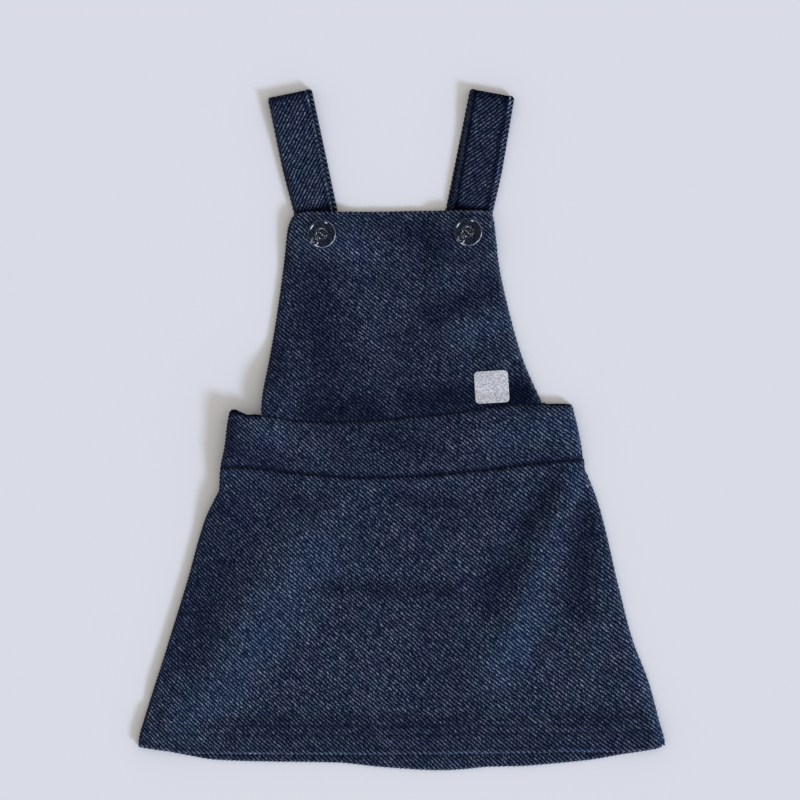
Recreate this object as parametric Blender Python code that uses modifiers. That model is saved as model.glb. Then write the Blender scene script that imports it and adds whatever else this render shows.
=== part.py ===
"""A baby's denim-look dungaree dress, lying flat on its back.

Skirt, waistband and the back runs of the straps lie flat on the ground, at z = 0,
and the front pieces lie on them.  X runs to the right as the dress is seen from
above, Y runs towards the shoulder folds and Z runs up.  The origin is the middle of
the dress's outline, on the ground.  Constants and tables are in millimetres, and MM
turns them into Blender's metres.
"""

import math
from collections import namedtuple

import bmesh
import bpy
from mathutils import Matrix, Vector

MM = 0.001

# Cloth, in millimetres.
CLOTH = 1.3                 # one layer of the thick twill
SEAM_WALL = 2.0             # the skirt front where its allowance lies under the waist seam
DOUBLED = 2.4               # two layers: straps, waistband and turned-up hem
BIB_WALL = 2.2              # the bib with its facing
GAP = 0.3                   # clearance between two pieces
ROUNDING = 0.5              # rounded edge of a cloth wall

# Heights of the front pieces' undersides above the ground.
FRONT_RISE = 2.75           # over the doubled back pieces
SIDE_RISE = 1.65            # over the single back panel, along the side seams
BIB_SAG = 2.3               # the bib between and beside the straps
SIDE_FALL = 14.0            # width over which the skirt front comes down to its side seam

HEM_DEPTH = 20.0            # turned-up hem
HEM_FADE = 4.0              # width over which the wall goes from two layers to one
SEAM_FADE = 9.0             # the same below the waist seam
WAIST_PUFF = 0.5            # rise of the waistband's middle over its two seams

# Edges that run across the dress, from left to right.
AcrossRow = namedtuple("AcrossRow", "x y")
BAND_TOP = (
    AcrossRow(-110.7, 9.8), AcrossRow(-89.3, 9.0), AcrossRow(-57.3, 5.2), AcrossRow(-41.0, 5.2),
    AcrossRow(0.3, 7.7), AcrossRow(38.7, 11.5), AcrossRow(57.9, 14.7), AcrossRow(77.1, 16.3),
    AcrossRow(108.9, 16.5),
)
BACK_BAND_TOP = (
    AcrossRow(-110.7, 10.8), AcrossRow(-108.0, 13.2), AcrossRow(-99.0, 9.6), AcrossRow(-89.3, 8.4),
    AcrossRow(-57.3, 4.7), AcrossRow(-41.0, 4.7), AcrossRow(0.3, 7.2), AcrossRow(38.7, 11.0),
    AcrossRow(57.9, 14.2), AcrossRow(77.1, 15.9), AcrossRow(108.9, 16.2),
)
WAIST_SEAM = (
    AcrossRow(-117.2, -24.5), AcrossRow(-103.4, -24.3), AcrossRow(-65.0, -28.3), AcrossRow(-26.6, -30.7),
    AcrossRow(2.2, -30.1), AcrossRow(50.2, -26.2), AcrossRow(88.6, -21.4), AcrossRow(116.8, -18.9),
)
FRONT_HEM = (
    AcrossRow(-168.9, -203.2), AcrossRow(-154.6, -205.4), AcrossRow(-135.4, -207.4),
    AcrossRow(-39.4, -207.9), AcrossRow(63.0, -207.2), AcrossRow(100.0, -206.4),
    AcrossRow(139.8, -206.3), AcrossRow(162.0, -204.4), AcrossRow(168.9, -201.8),
)
BACK_HEM = (
    AcrossRow(-168.9, -203.2), AcrossRow(-154.6, -205.4), AcrossRow(-138.6, -208.4),
    AcrossRow(-119.4, -211.5), AcrossRow(-90.6, -212.2), AcrossRow(-42.6, -212.9),
    AcrossRow(-13.8, -216.0), AcrossRow(24.6, -218.5), AcrossRow(69.4, -216.0),
    AcrossRow(91.8, -214.1), AcrossRow(120.6, -211.2), AcrossRow(139.8, -207.9),
    AcrossRow(162.0, -204.6), AcrossRow(168.9, -201.8),
)
BIB_TOP = (
    AcrossRow(-68.4, 138.2), AcrossRow(-59.0, 139.5), AcrossRow(-35.0, 139.9),
    AcrossRow(28.0, 140.1), AcrossRow(50.0, 140.1), AcrossRow(58.4, 139.5),
)

# Side edges, from the top down: how far left and right a panel reaches at a height.
SideRow = namedtuple("SideRow", "y left right")
SKIRT_SIDES = (
    SideRow(-18.0, -117.1, 116.5), SideRow(-27.5, -117.2, 117.9), SideRow(-38.0, -117.4, 122.5),
    SideRow(-45.0, -120.2, 124.9), SideRow(-58.0, -126.3, 128.5), SideRow(-97.0, -137.6, 137.5),
    SideRow(-135.0, -149.1, 147.1), SideRow(-161.0, -157.4, 157.4), SideRow(-196.5, -168.3, 167.8),
    SideRow(-204.0, -168.9, 168.9),
)
BAND_SIDES = (
    SideRow(16.4, -110.7, 108.9), SideRow(9.6, -110.7, 110.4), SideRow(3.2, -112.0, 112.0),
    SideRow(-10.0, -113.7, 114.7), SideRow(-25.0, -117.1, 117.0),
)
BIB_SIDES = (
    SideRow(139.5, -68.4, 58.6), SideRow(137.5, -69.5, 59.3), SideRow(131.2, -72.6, 59.9),
    SideRow(108.2, -75.5, 61.6), SideRow(70.0, -80.9, 69.7), SideRow(44.2, -85.1, 77.6),
    SideRow(18.6, -89.5, 88.8), SideRow(8.0, -90.1, 93.3),
)

# Straps: a doubled ribbon that folds at the shoulder.  A lean is the angle, in degrees,
# from straight down the dress, and turns the lower end to the right.
Strap = namedtuple("Strap", "side fold_x fold_y front_lean back_lean")
STRAPS = (
    Strap("left", -71.9, 215.2, 12.0, 11.7),
    Strap("right", 57.2, 216.0, -9.4, -11.4),
)
STRAP_WIDTH = 27.8
STRAP_FRONT_END = 109.0     # height up the dress of a front run's end, under the bib
STRAP_LOOP = 7.0            # height of the fold at the shoulder
STRAP_SETTLE = 45.0         # length over which the front run comes down onto the back run
STRAP_BACK_LENGTHS = (140.0, 80.0, 40.0, 16.0)      # sections of the back run, from the fold
SUPPORT_REACH = 18.0        # half width of the bib's flat strip over a strap
SUPPORT_FALL = 17.0         # width over which the bib sags beside that strip
SUPPORT_PAST_END = 4.5      # how far that strip runs on past a front run's end

# Soft folds of the skirt front and the bib: a ridge, or with a negative rise a trough,
# that runs from one point to another.
Fold = namedtuple("Fold", "x0 y0 x1 y1 width rise")
FOLD_SPREAD = 1.6           # distance at which a fold has faded out, in widths
SKIRT_FOLDS = (
    Fold(-56.0, -62.0, -121.0, -165.0, 22.0, 1.8),      # long ridge to the left hem corner
    Fold(-95.0, -62.0, -134.0, -125.0, 15.0, -0.8),     # hollow on its outer side
    Fold(110.0, -30.0, 74.0, -124.0, 13.0, 2.0),        # ridge from the right end of the waist
    Fold(74.0, -124.0, 56.0, -152.0, 15.0, 1.3),        # its soft lower end
    Fold(90.0, -42.0, 68.0, -86.0, 11.0, -0.8),         # hollow on its inner side
    Fold(121.0, -48.0, 116.0, -108.0, 9.0, -0.7),       # hollow on its outer side
    Fold(124.0, -120.0, 117.0, -152.0, 8.0, 1.0),       # short ridge near the right side
    Fold(-49.0, -102.0, 18.0, -102.0, 9.0, -0.7),       # shallow hollow across the middle
    Fold(0.0, -46.0, 32.0, -46.0, 13.0, -0.7),          # shallow hollow below the waist
)
BIB_FOLDS = (
    Fold(-50.0, 14.0, -24.0, 13.0, 7.0, -0.5),          # dip above the waistband, left
    Fold(14.0, 22.0, 92.0, 24.0, 8.0, -0.9),            # deeper dip above it, right
    Fold(45.0, 76.0, 24.0, 66.0, 10.0, -0.5),           # faint slanting hollow
    Fold(52.0, 60.0, 48.0, 66.0, 12.0, 0.6),            # soft swelling below it
)

# Buttons: turned discs with a raised rim and four holes.
BUTTON_CENTRES = {"left": (-51.2, 125.0), "right": (42.3, 126.2)}
BUTTON_HEIGHT = 3.0
ProfileRow = namedtuple("ProfileRow", "radius height")
BUTTON_PROFILE = (          # half section, from the middle of the face to that of the back
    ProfileRow(0.0, 1.9), ProfileRow(3.8, 2.0), ProfileRow(6.4, 2.25), ProfileRow(7.1, 2.9),
    ProfileRow(7.8, BUTTON_HEIGHT), ProfileRow(8.5, 2.65), ProfileRow(9.0, 1.9),
    ProfileRow(8.65, 0.7), ProfileRow(7.7, 0.0), ProfileRow(0.0, 0.0),
)
HOLE_RADIUS = 1.0
HOLE_OFFSET = 2.4           # from the button's centre
HOLE_COUNT = 4
HOLE_SIDES = 10
BUTTON_STEPS = 28

# Label: a small plate that follows the bib.
LABEL_CENTRE = (57.4, 27.3)
LABEL_WIDTH = 21.8
LABEL_HEIGHT = 20.6
LABEL_CORNER = 2.6
LABEL_WALL = 0.6
LABEL_TURN = 3.4            # degrees, anticlockwise

# Cells of each panel, across and along it.
SKIRT_CELLS = (30, 22)
BACK_SKIRT_CELLS = (24, 8)
BAND_CELLS = (26, 4)
BACK_BAND_CELLS = (26, 1)
BIB_CELLS = (32, 20)
LABEL_CELLS = (8, 8)
STRAP_COLUMNS = 4
LOOP_STEPS = 8
SETTLE_STEPS = 6
FIT_PASSES = 6              # rounds that settle a point between its four edges

# Materials: base colour (linear), roughness and transmission.
INDIGO_TWILL = (0.0185, 0.0262, 0.0497)
CLEAR_SMOKE = (0.30, 0.32, 0.36)
PALE_GREY = (0.50, 0.51, 0.57)


def lerp(start, end, share):
    """Return the value a share of the way from start to end."""
    return start + (end - start) * share


def ease(share):
    """Return a smooth step: 0 at and below 0, 1 at and above 1."""
    share = min(max(share, 0.0), 1.0)
    return share * share * (3.0 - 2.0 * share)


def curve_through(points):
    """Return f(t), a smooth curve without overshoot through (t, value) points."""
    points = sorted(points)
    spans = [b[0] - a[0] for a, b in zip(points, points[1:])]
    slopes = [(b[1] - a[1]) / span for a, b, span in zip(points, points[1:], spans)]
    tangents = [slopes[0]]
    for before, after in zip(slopes, slopes[1:]):
        same_way = before * after > 0.0
        tangents.append(2.0 * before * after / (before + after) if same_way else 0.0)
    tangents.append(slopes[-1])

    def value(t):
        t = min(max(t, points[0][0]), points[-1][0])
        index = 0
        while index < len(spans) - 1 and t > points[index + 1][0]:
            index += 1
        s = (t - points[index][0]) / spans[index]
        start = points[index][1]
        end = points[index + 1][1]
        pull_out = tangents[index] * spans[index]
        pull_in = tangents[index + 1] * spans[index]
        blend = s * s * (3.0 - 2.0 * s)
        return lerp(start, end, blend) + s * (1.0 - s) * ((1.0 - s) * pull_out - s * pull_in)

    return value


def left_edge(rows):
    """Return x(y) of a panel's left side."""
    return curve_through([(row.y, row.left) for row in rows])


def right_edge(rows):
    """Return x(y) of a panel's right side."""
    return curve_through([(row.y, row.right) for row in rows])


band_top = curve_through(BAND_TOP)
back_band_top = curve_through(BACK_BAND_TOP)
waist_seam = curve_through(WAIST_SEAM)
front_hem = curve_through(FRONT_HEM)
back_hem = curve_through(BACK_HEM)
bib_top = curve_through(BIB_TOP)
skirt_left = left_edge(SKIRT_SIDES)
skirt_right = right_edge(SKIRT_SIDES)


def between_edges(top, bottom, sides):
    """Return place(u, v), the plan point of a panel with four curved edges."""
    left = left_edge(sides)
    right = right_edge(sides)

    def place(u, v):
        y = lerp(top(0.0), bottom(0.0), v)
        for _ in range(FIT_PASSES):
            x = lerp(left(y), right(y), u)
            y = lerp(top(x), bottom(x), v)
        return x, y

    return place


def fold_rise(folds, x, y):
    """Return how far the folds lift the cloth at a plan point."""
    rise = 0.0
    for fold in folds:
        run = Vector((fold.x1 - fold.x0, fold.y1 - fold.y0))
        from_start = Vector((x - fold.x0, y - fold.y0))
        along = min(max(from_start.dot(run) / run.length_squared, 0.0), 1.0)
        distance = (from_start - run * along).length
        rise += fold.rise * ease(1.0 - distance / (fold.width * FOLD_SPREAD))
    return rise


# ---- heights of the pieces -------------------------------------------------


def skirt_back_wall(x, y):
    """Return the back panel's wall: two layers in the hem, one above it."""
    above_hem = y - back_hem(x)
    return lerp(DOUBLED, CLOTH, ease((above_hem - HEM_DEPTH) / HEM_FADE))


def skirt_front_wall(x, y):
    """Return the front panel's wall, thicker in the hem and below the waist seam."""
    above_hem = y - front_hem(x)
    below_seam = waist_seam(x) - y
    hem = lerp(DOUBLED, CLOTH, ease((above_hem - HEM_DEPTH) / HEM_FADE))
    seam = lerp(SEAM_WALL, CLOTH, ease(below_seam / SEAM_FADE))
    return max(hem, seam)


def skirt_front_top(x, y):
    """Return the height of the front panel's outer face."""
    from_side = min(x - skirt_left(y), skirt_right(y) - x)
    above_hem = y - front_hem(x)
    below_seam = waist_seam(x) - y
    hem_rest = 1.0 - ease((above_hem - HEM_DEPTH - HEM_FADE) / HEM_FADE)
    seam_rest = 1.0 - ease(below_seam / SEAM_FADE)
    free = 1.0 - max(hem_rest, seam_rest)
    side_drop = (FRONT_RISE - SIDE_RISE) * (1.0 - ease(from_side / SIDE_FALL))
    folds = fold_rise(SKIRT_FOLDS, x, y) * ease(from_side / SIDE_FALL)
    return FRONT_RISE + free * (folds - side_drop) + skirt_front_wall(x, y)


def waistband_front_top(x, y):
    """Return the height of the front waistband's outer face, puffed between its seams."""
    top = band_top(x)
    share = (top - y) / (top - waist_seam(x))
    return FRONT_RISE + DOUBLED + WAIST_PUFF * math.sin(math.pi * min(max(share, 0.0), 1.0))


def run_distance(strap, lean, x, y):
    """Return a point's distance from the middle line of a strap's run."""
    angle = math.radians(lean)
    across = Vector((math.cos(angle), math.sin(angle)))
    return abs(across.dot(Vector((x - strap.fold_x, y - strap.fold_y))))


def strap_support(x, y):
    """Return the height of the straps under the bib at a point, faded out beside them."""
    height = 0.0
    for strap in STRAPS:
        beside_back = run_distance(strap, strap.back_lean, x, y) - SUPPORT_REACH
        beside_front = run_distance(strap, strap.front_lean, x, y) - SUPPORT_REACH
        past_end = STRAP_FRONT_END - SUPPORT_PAST_END - y
        back = DOUBLED * (1.0 - ease(beside_back / SUPPORT_FALL))
        front = (DOUBLED + GAP) * (1.0 - ease(beside_front / SUPPORT_FALL))
        front *= 1.0 - ease(past_end / SUPPORT_FALL)
        height = max(height, back + front)
    return height


def bib_under(x, y):
    """Return the height of the bib's underside."""
    above_seam = y - band_top(x)
    at_seam = 1.0 - ease(above_seam / SEAM_FADE)
    free = BIB_SAG + fold_rise(BIB_FOLDS, x, y) * (1.0 - at_seam)
    return max(free, strap_support(x, y) + GAP)


def bib_height(x, y):
    """Return the height of the bib's outer face."""
    return bib_under(x, y) + BIB_WALL


# ---- building blocks -------------------------------------------------------


def clear_scene():
    """Remove every object of the scene."""
    for existing in list(bpy.data.objects):
        bpy.data.objects.remove(existing, do_unlink=True)


def collection(name):
    """Return a new collection linked to the scene."""
    group = bpy.data.collections.new(name)
    bpy.context.scene.collection.children.link(group)
    return group


def surface_material(name, colour, roughness, transmission=0.0):
    """Return a Principled material."""
    material = bpy.data.materials.new(name)
    material.use_nodes = True
    shader = material.node_tree.nodes["Principled BSDF"]
    shader.inputs["Base Color"].default_value = (*colour, 1.0)
    shader.inputs["Roughness"].default_value = roughness
    shader.inputs["Metallic"].default_value = 0.0
    shader.inputs["Transmission Weight"].default_value = transmission
    return material


def twill(name):
    """Return a piece's own indigo twill material."""
    return surface_material(name + "_twill", INDIGO_TWILL, 0.9)


def sheet(name, cells, point, wall, face_up, group, material):
    """Return an open sheet whose grid points come from point(u, v), with its wall as weights.

    u runs from the left to the right edge and v from the top to the bottom edge.
    """
    across, along = cells
    thickest = 0.0
    weights = []
    grid = bmesh.new()
    bmesh.ops.create_grid(grid, x_segments=across, y_segments=along, size=0.5)
    for vertex in grid.verts:
        spot = point(vertex.co.x + 0.5, 0.5 - vertex.co.y)
        thickness = wall(spot.x, spot.y)
        weights.append(thickness)
        thickest = max(thickest, thickness)
        vertex.co = spot * MM
    if not face_up:
        bmesh.ops.reverse_faces(grid, faces=grid.faces)
    mesh = bpy.data.meshes.new(name)
    grid.to_mesh(mesh)
    grid.free()
    piece = bpy.data.objects.new(name, mesh)
    group.objects.link(piece)
    mesh.materials.append(material)
    mesh.shade_smooth()
    layers = piece.vertex_groups.new(name="wall")
    for index, thickness in enumerate(weights):
        layers.add([index], thickness / thickest, "REPLACE")
    thicken(piece, thickest, layers.name)
    return piece


def thicken(piece, wall, weights):
    """Give a sheet its wall, inwards from its outer face, and rounded edges."""
    solid = piece.modifiers.new("wall", "SOLIDIFY")
    solid.thickness = wall * MM
    solid.offset = -1.0
    solid.vertex_group = weights
    edge = piece.modifiers.new("rounded edge", "BEVEL")
    edge.width = ROUNDING * MM
    edge.segments = 2
    edge.limit_method = "ANGLE"
    edge.angle_limit = math.radians(50.0)


def front_panel(name, cells, place, height, wall, group):
    """Build a panel that faces up, with its outer face at height(x, y)."""
    def point(u, v):
        x, y = place(u, v)
        return Vector((x, y, height(x, y)))

    return sheet(name, cells, point, wall, True, group, twill(name))


def back_panel(name, cells, place, wall, group):
    """Build a panel that faces down and lies flat on the ground."""
    def point(u, v):
        x, y = place(u, v)
        return Vector((x, y, 0.0))

    return sheet(name, cells, point, wall, False, group, twill(name))


def shifted(edge, distance):
    """Return an edge moved along Y."""
    return lambda x: edge(x) + distance


def even(thickness):
    """Return a wall that is the same all over."""
    return lambda x, y: thickness


# ---- the pieces ------------------------------------------------------------


def build_skirt(group):
    """Build the skirt's two panels, half a gap below the waist seam."""
    top = shifted(waist_seam, -GAP / 2.0)
    back_place = between_edges(top, back_hem, SKIRT_SIDES)
    front_place = between_edges(top, front_hem, SKIRT_SIDES)
    back_panel("skirt_back", BACK_SKIRT_CELLS, back_place, skirt_back_wall, group)
    front_panel("skirt_front", SKIRT_CELLS, front_place, skirt_front_top, skirt_front_wall, group)


def build_waistband(group):
    """Build the waistband's two doubled halves."""
    bottom = shifted(waist_seam, GAP / 2.0)
    back_place = between_edges(back_band_top, bottom, BAND_SIDES)
    front_place = between_edges(shifted(band_top, -GAP / 2.0), bottom, BAND_SIDES)
    wall = even(DOUBLED)
    back_panel("waistband_back", BACK_BAND_CELLS, back_place, wall, group)
    front_panel("waistband_front", BAND_CELLS, front_place, waistband_front_top, wall, group)


def build_bib(group):
    """Build the bib, half a gap above the waistband."""
    place = between_edges(bib_top, shifted(band_top, GAP / 2.0), BIB_SIDES)
    front_panel("bib", BIB_CELLS, place, bib_height, even(BIB_WALL), group)


def strap_stations(strap):
    """Return a strap's middle line as (lean, length down the run, height) stations.

    They run from the back waistband over the shoulder fold to the front run's end.
    A length of None stands for the edge of the back waistband.
    """
    middle = DOUBLED / 2.0
    loop_radius = (STRAP_LOOP - DOUBLED) / 2.0
    loop_centre = middle + loop_radius
    front_length = (strap.fold_y - STRAP_FRONT_END) / math.cos(math.radians(strap.front_lean))
    inset = loop_radius + middle
    stations = [(strap.back_lean, None, middle)]
    for length in STRAP_BACK_LENGTHS:
        stations.append((strap.back_lean, length, middle))
    for step in range(LOOP_STEPS + 1):
        share = step / LOOP_STEPS
        angle = math.pi * share
        lean = lerp(strap.back_lean, strap.front_lean, share)
        length = inset - loop_radius * math.sin(angle)
        stations.append((lean, length, loop_centre - loop_radius * math.cos(angle)))
    rest = DOUBLED * 1.5 + GAP
    for step in range(1, SETTLE_STEPS + 1):
        share = step / SETTLE_STEPS
        length = inset + STRAP_SETTLE * share
        height = lerp(loop_centre + loop_radius, rest, ease(share))
        stations.append((strap.front_lean, length, height))
    stations.append((strap.front_lean, lerp(inset + STRAP_SETTLE, front_length, 0.5), rest))
    stations.append((strap.front_lean, front_length, rest))
    return stations


def strap_point(strap, station, offset):
    """Return the point of a strap at a station, offset across it."""
    lean, length, height = station
    angle = math.radians(lean)
    down = Vector((math.sin(angle), -math.cos(angle)))
    across = Vector((math.cos(angle), math.sin(angle)))
    start = Vector((strap.fold_x, strap.fold_y)) + across * offset
    if length is None:
        length = 0.0
        for _ in range(FIT_PASSES):
            spot = start + down * length
            length += (spot.y - back_band_top(spot.x) - GAP) / math.cos(angle)
    spot = start + down * length
    return Vector((spot.x, spot.y, height))


def build_straps(group):
    """Build both straps as ribbons with half of their wall on each side."""
    for strap in STRAPS:
        stations = strap_stations(strap)
        rows = len(stations) - 1

        def point(u, v, strap=strap, stations=stations, rows=rows):
            station = stations[round(v * rows)]
            return strap_point(strap, station, (u - 0.5) * STRAP_WIDTH)

        name = "strap_" + strap.side
        cells = (STRAP_COLUMNS, rows)
        ribbon = sheet(name, cells, point, even(DOUBLED), True, group, twill(name))
        ribbon.modifiers["wall"].offset = 0.0


def turned_solid(name, profile, steps, group):
    """Return a solid turned about Z from a profile that runs down its outer side."""
    mesh = bpy.data.meshes.new(name)
    outline = bmesh.new()
    corners = [outline.verts.new((row.radius * MM, 0.0, row.height * MM)) for row in profile]
    for start, end in zip(corners, corners[1:]):
        outline.edges.new((start, end))
    outline.to_mesh(mesh)
    outline.free()
    solid = bpy.data.objects.new(name, mesh)
    group.objects.link(solid)
    turn = solid.modifiers.new("turn", "SCREW")
    turn.steps = steps
    turn.render_steps = steps
    turn.use_merge_vertices = True
    turn.merge_threshold = 0.00001
    return solid


def hole_cutter(name, group):
    """Return a cutter of four thin rods, one for each hole of a button."""
    mesh = bpy.data.meshes.new(name)
    rods = bmesh.new()
    for index in range(HOLE_COUNT):
        angle = math.tau * index / HOLE_COUNT
        offset = Vector((math.cos(angle), math.sin(angle), 0.0)) * HOLE_OFFSET
        offset.z = BUTTON_HEIGHT / 2.0
        bmesh.ops.create_cone(
            rods, cap_ends=True, segments=HOLE_SIDES, radius1=HOLE_RADIUS * MM, radius2=HOLE_RADIUS * MM,
            depth=BUTTON_HEIGHT * 2.0 * MM, matrix=Matrix.Translation(offset * MM))
    rods.to_mesh(mesh)
    rods.free()
    cutter = bpy.data.objects.new(name, mesh)
    group.objects.link(cutter)
    cutter.hide_render = True
    cutter.display_type = "WIRE"
    return cutter


def build_buttons(group, cutters):
    """Build both buttons, a gap above the bib."""
    for side, (x, y) in BUTTON_CENTRES.items():
        name = "button_" + side
        button = turned_solid(name, BUTTON_PROFILE, BUTTON_STEPS, group)
        place = Vector((x, y, bib_height(x, y) + GAP)) * MM
        button.location = place
        cutter = hole_cutter(name + "_holes", cutters)
        cutter.location = place
        holes = button.modifiers.new("holes", "BOOLEAN")
        holes.operation = "DIFFERENCE"
        holes.solver = "EXACT"
        holes.object = cutter
        button.data.materials.append(surface_material(name + "_plastic", CLEAR_SMOKE, 0.12, 0.8))


def rounded_plan(s, t):
    """Return a point of the label's rounded outline for s and t between -1 and 1."""
    spot = Vector((s * LABEL_WIDTH / 2.0, t * LABEL_HEIGHT / 2.0))
    centre = Vector((LABEL_WIDTH / 2.0 - LABEL_CORNER, LABEL_HEIGHT / 2.0 - LABEL_CORNER))
    past = Vector((abs(spot.x) - centre.x, abs(spot.y) - centre.y))
    if past.x > 0.0 and past.y > 0.0:
        reach = max(past.x, past.y)
        past *= reach / past.length
        spot.x = math.copysign(centre.x + past.x, spot.x)
        spot.y = math.copysign(centre.y + past.y, spot.y)
    return spot


def build_label(group):
    """Build the label from the bib's own surface, moved out."""
    turn = Matrix.Rotation(math.radians(LABEL_TURN), 2)

    def point(u, v):
        spot = turn @ rounded_plan(2.0 * u - 1.0, 1.0 - 2.0 * v) + Vector(LABEL_CENTRE)
        return Vector((spot.x, spot.y, bib_height(spot.x, spot.y) + GAP + LABEL_WALL))

    material = surface_material("label_weave", PALE_GREY, 0.85)
    label = sheet("label", LABEL_CELLS, point, even(LABEL_WALL), True, group, material)
    label.modifiers["rounded edge"].width = LABEL_WALL * 0.25 * MM
    label.modifiers["rounded edge"].segments = 1


def build_dress():
    """Build the whole dress."""
    clear_scene()
    dress = collection("dungaree_dress")
    cutters = collection("cutters")
    build_skirt(dress)
    build_waistband(dress)
    build_straps(dress)
    build_bib(dress)
    build_buttons(dress, cutters)
    build_label(dress)


build_dress()
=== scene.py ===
"""Looks of a baby's dungaree dress in dark indigo twill, lying flat on a pale floor.

The cloth's tables, sizes and heights are in millimetres in the dress's own frame: X runs
to the right as the dress is seen from above, Y towards the shoulder folds and Z up from
the floor.  MM turns them into Blender's metres.
"""

import logging
import math
from contextlib import contextmanager
from dataclasses import dataclass
from enum import Enum
from typing import Callable, Iterator, NamedTuple, Protocol, Sequence

import bpy
import numpy as np
from mathutils import Matrix, Vector


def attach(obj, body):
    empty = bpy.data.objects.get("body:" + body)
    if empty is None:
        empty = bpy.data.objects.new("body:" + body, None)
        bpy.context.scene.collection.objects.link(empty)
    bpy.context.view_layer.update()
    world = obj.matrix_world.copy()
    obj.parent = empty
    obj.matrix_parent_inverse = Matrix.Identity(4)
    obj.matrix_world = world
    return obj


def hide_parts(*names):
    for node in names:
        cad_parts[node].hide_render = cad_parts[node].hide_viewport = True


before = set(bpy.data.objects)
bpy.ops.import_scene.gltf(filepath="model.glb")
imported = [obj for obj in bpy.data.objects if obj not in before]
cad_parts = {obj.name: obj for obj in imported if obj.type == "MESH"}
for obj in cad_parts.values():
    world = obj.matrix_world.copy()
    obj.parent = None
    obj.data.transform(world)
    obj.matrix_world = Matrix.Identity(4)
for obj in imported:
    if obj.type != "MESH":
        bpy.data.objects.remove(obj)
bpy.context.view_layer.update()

Array = np.ndarray
Object = bpy.types.Object
Colour = tuple[float, float, float]
Height = Callable[[Array, Array], Array]

LOG = logging.getLogger("dungaree_dress")
MM = 0.001
BODY = "root"
WEAVE_MAP = "weave"                     # the UV map that carries the twill's rows
LIGHT_AND_WEAR = "light_and_wear"                           # the attribute that carries its painted light and shade and its wear
MERGE = 1e-6                            # points closer than this, in metres, are one


# ---- outlines and layers ----------------------------------------------------------


class Across(NamedTuple):
    """A point of an edge that runs across the dress."""

    x: float
    y: float


class Side(NamedTuple):
    """How far left and right a panel reaches at a height up the dress."""

    y: float
    left: float
    right: float


class Fold(NamedTuple):
    """A soft ridge, or with a negative rise a trough, from one point to another."""

    x0: float
    y0: float
    x1: float
    y1: float
    width: float
    rise: float


class Line(NamedTuple):
    """A soft line beside an edge: its distance from it, its width and its strength."""

    place: float
    width: float
    strength: float

    def at(self, distance: Array) -> Array:
        """Return the line's strength at a distance from the edge."""
        return self.strength * bell(distance - self.place, self.width)


BAND_TOP = (
    Across(-110.7, 10.4), Across(-108.0, 12.6), Across(-99.0, 9.5), Across(-95.0, 10.0),
    Across(-89.3, 9.4), Across(-57.3, 5.2), Across(-41.0, 5.2), Across(0.3, 7.7), Across(38.7, 11.5),
    Across(57.9, 14.8), Across(77.1, 16.5), Across(104.0, 16.7), Across(108.2, 16.2),
)
BACK_BAND_TOP = (
    Across(-110.7, 10.8), Across(-108.0, 13.2), Across(-99.0, 9.6), Across(-89.3, 8.4),
    Across(-57.3, 4.7), Across(-41.0, 4.7), Across(0.3, 7.2), Across(38.7, 11.0), Across(57.9, 14.2),
    Across(77.1, 15.9), Across(108.9, 16.2),
)
WAIST_SEAM = (
    Across(-117.2, -24.5), Across(-103.4, -24.3), Across(-65.0, -28.3), Across(-26.6, -30.7),
    Across(2.2, -30.1), Across(50.2, -26.2), Across(88.6, -21.4), Across(116.8, -18.9),
)
FRONT_HEM = (
    Across(-168.9, -203.2), Across(-154.6, -205.4), Across(-135.4, -207.4), Across(-39.4, -207.9),
    Across(63.0, -207.2), Across(100.0, -206.4), Across(139.8, -206.3), Across(162.0, -204.4),
    Across(168.9, -201.8),
)
BACK_HEM = (
    Across(-168.9, -203.2), Across(-154.6, -205.4), Across(-138.6, -208.4), Across(-119.4, -211.5),
    Across(-90.6, -212.6), Across(-42.6, -213.3), Across(-13.8, -216.1), Across(24.6, -218.3),
    Across(40.0, -217.5), Across(56.0, -216.0), Across(76.0, -215.6), Across(91.8, -214.4),
    Across(120.6, -211.5), Across(139.8, -208.2), Across(162.0, -204.6), Across(168.9, -201.8),
)
BIB_TOP = (
    Across(-67.0, 138.0), Across(-59.0, 139.2), Across(-35.0, 139.3), Across(-12.0, 139.4),
    Across(10.0, 139.9), Across(50.0, 140.1), Across(57.2, 139.3),
)
SKIRT_SIDES = (
    Side(-18.0, -116.3, 116.6), Side(-24.6, -116.3, 116.8), Side(-29.8, -116.5, 118.9),
    Side(-38.0, -116.8, 122.2), Side(-45.0, -120.0, 124.8), Side(-58.0, -126.0, 128.6),
    Side(-97.0, -137.3, 137.7), Side(-135.0, -148.9, 147.6), Side(-161.0, -157.2, 157.6),
    Side(-188.0, -165.6, 165.0), Side(-196.5, -168.0, 167.4), Side(-204.0, -168.9, 168.9),
)
BAND_SIDES = (
    Side(16.4, -110.5, 108.2), Side(13.8, -110.5, 109.4), Side(9.6, -110.6, 110.3),
    Side(3.2, -111.6, 112.0), Side(-10.0, -113.2, 114.6), Side(-25.0, -116.3, 116.8),
)
BIB_SIDES = (
    Side(139.5, -67.0, 57.2), Side(137.3, -69.0, 57.9), Side(133.0, -71.4, 58.8),
    Side(128.0, -73.0, 59.5), Side(108.2, -75.2, 61.6), Side(70.0, -80.5, 69.9),
    Side(44.2, -84.9, 77.6), Side(18.6, -89.5, 88.8), Side(8.0, -90.1, 93.3),
)

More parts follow.
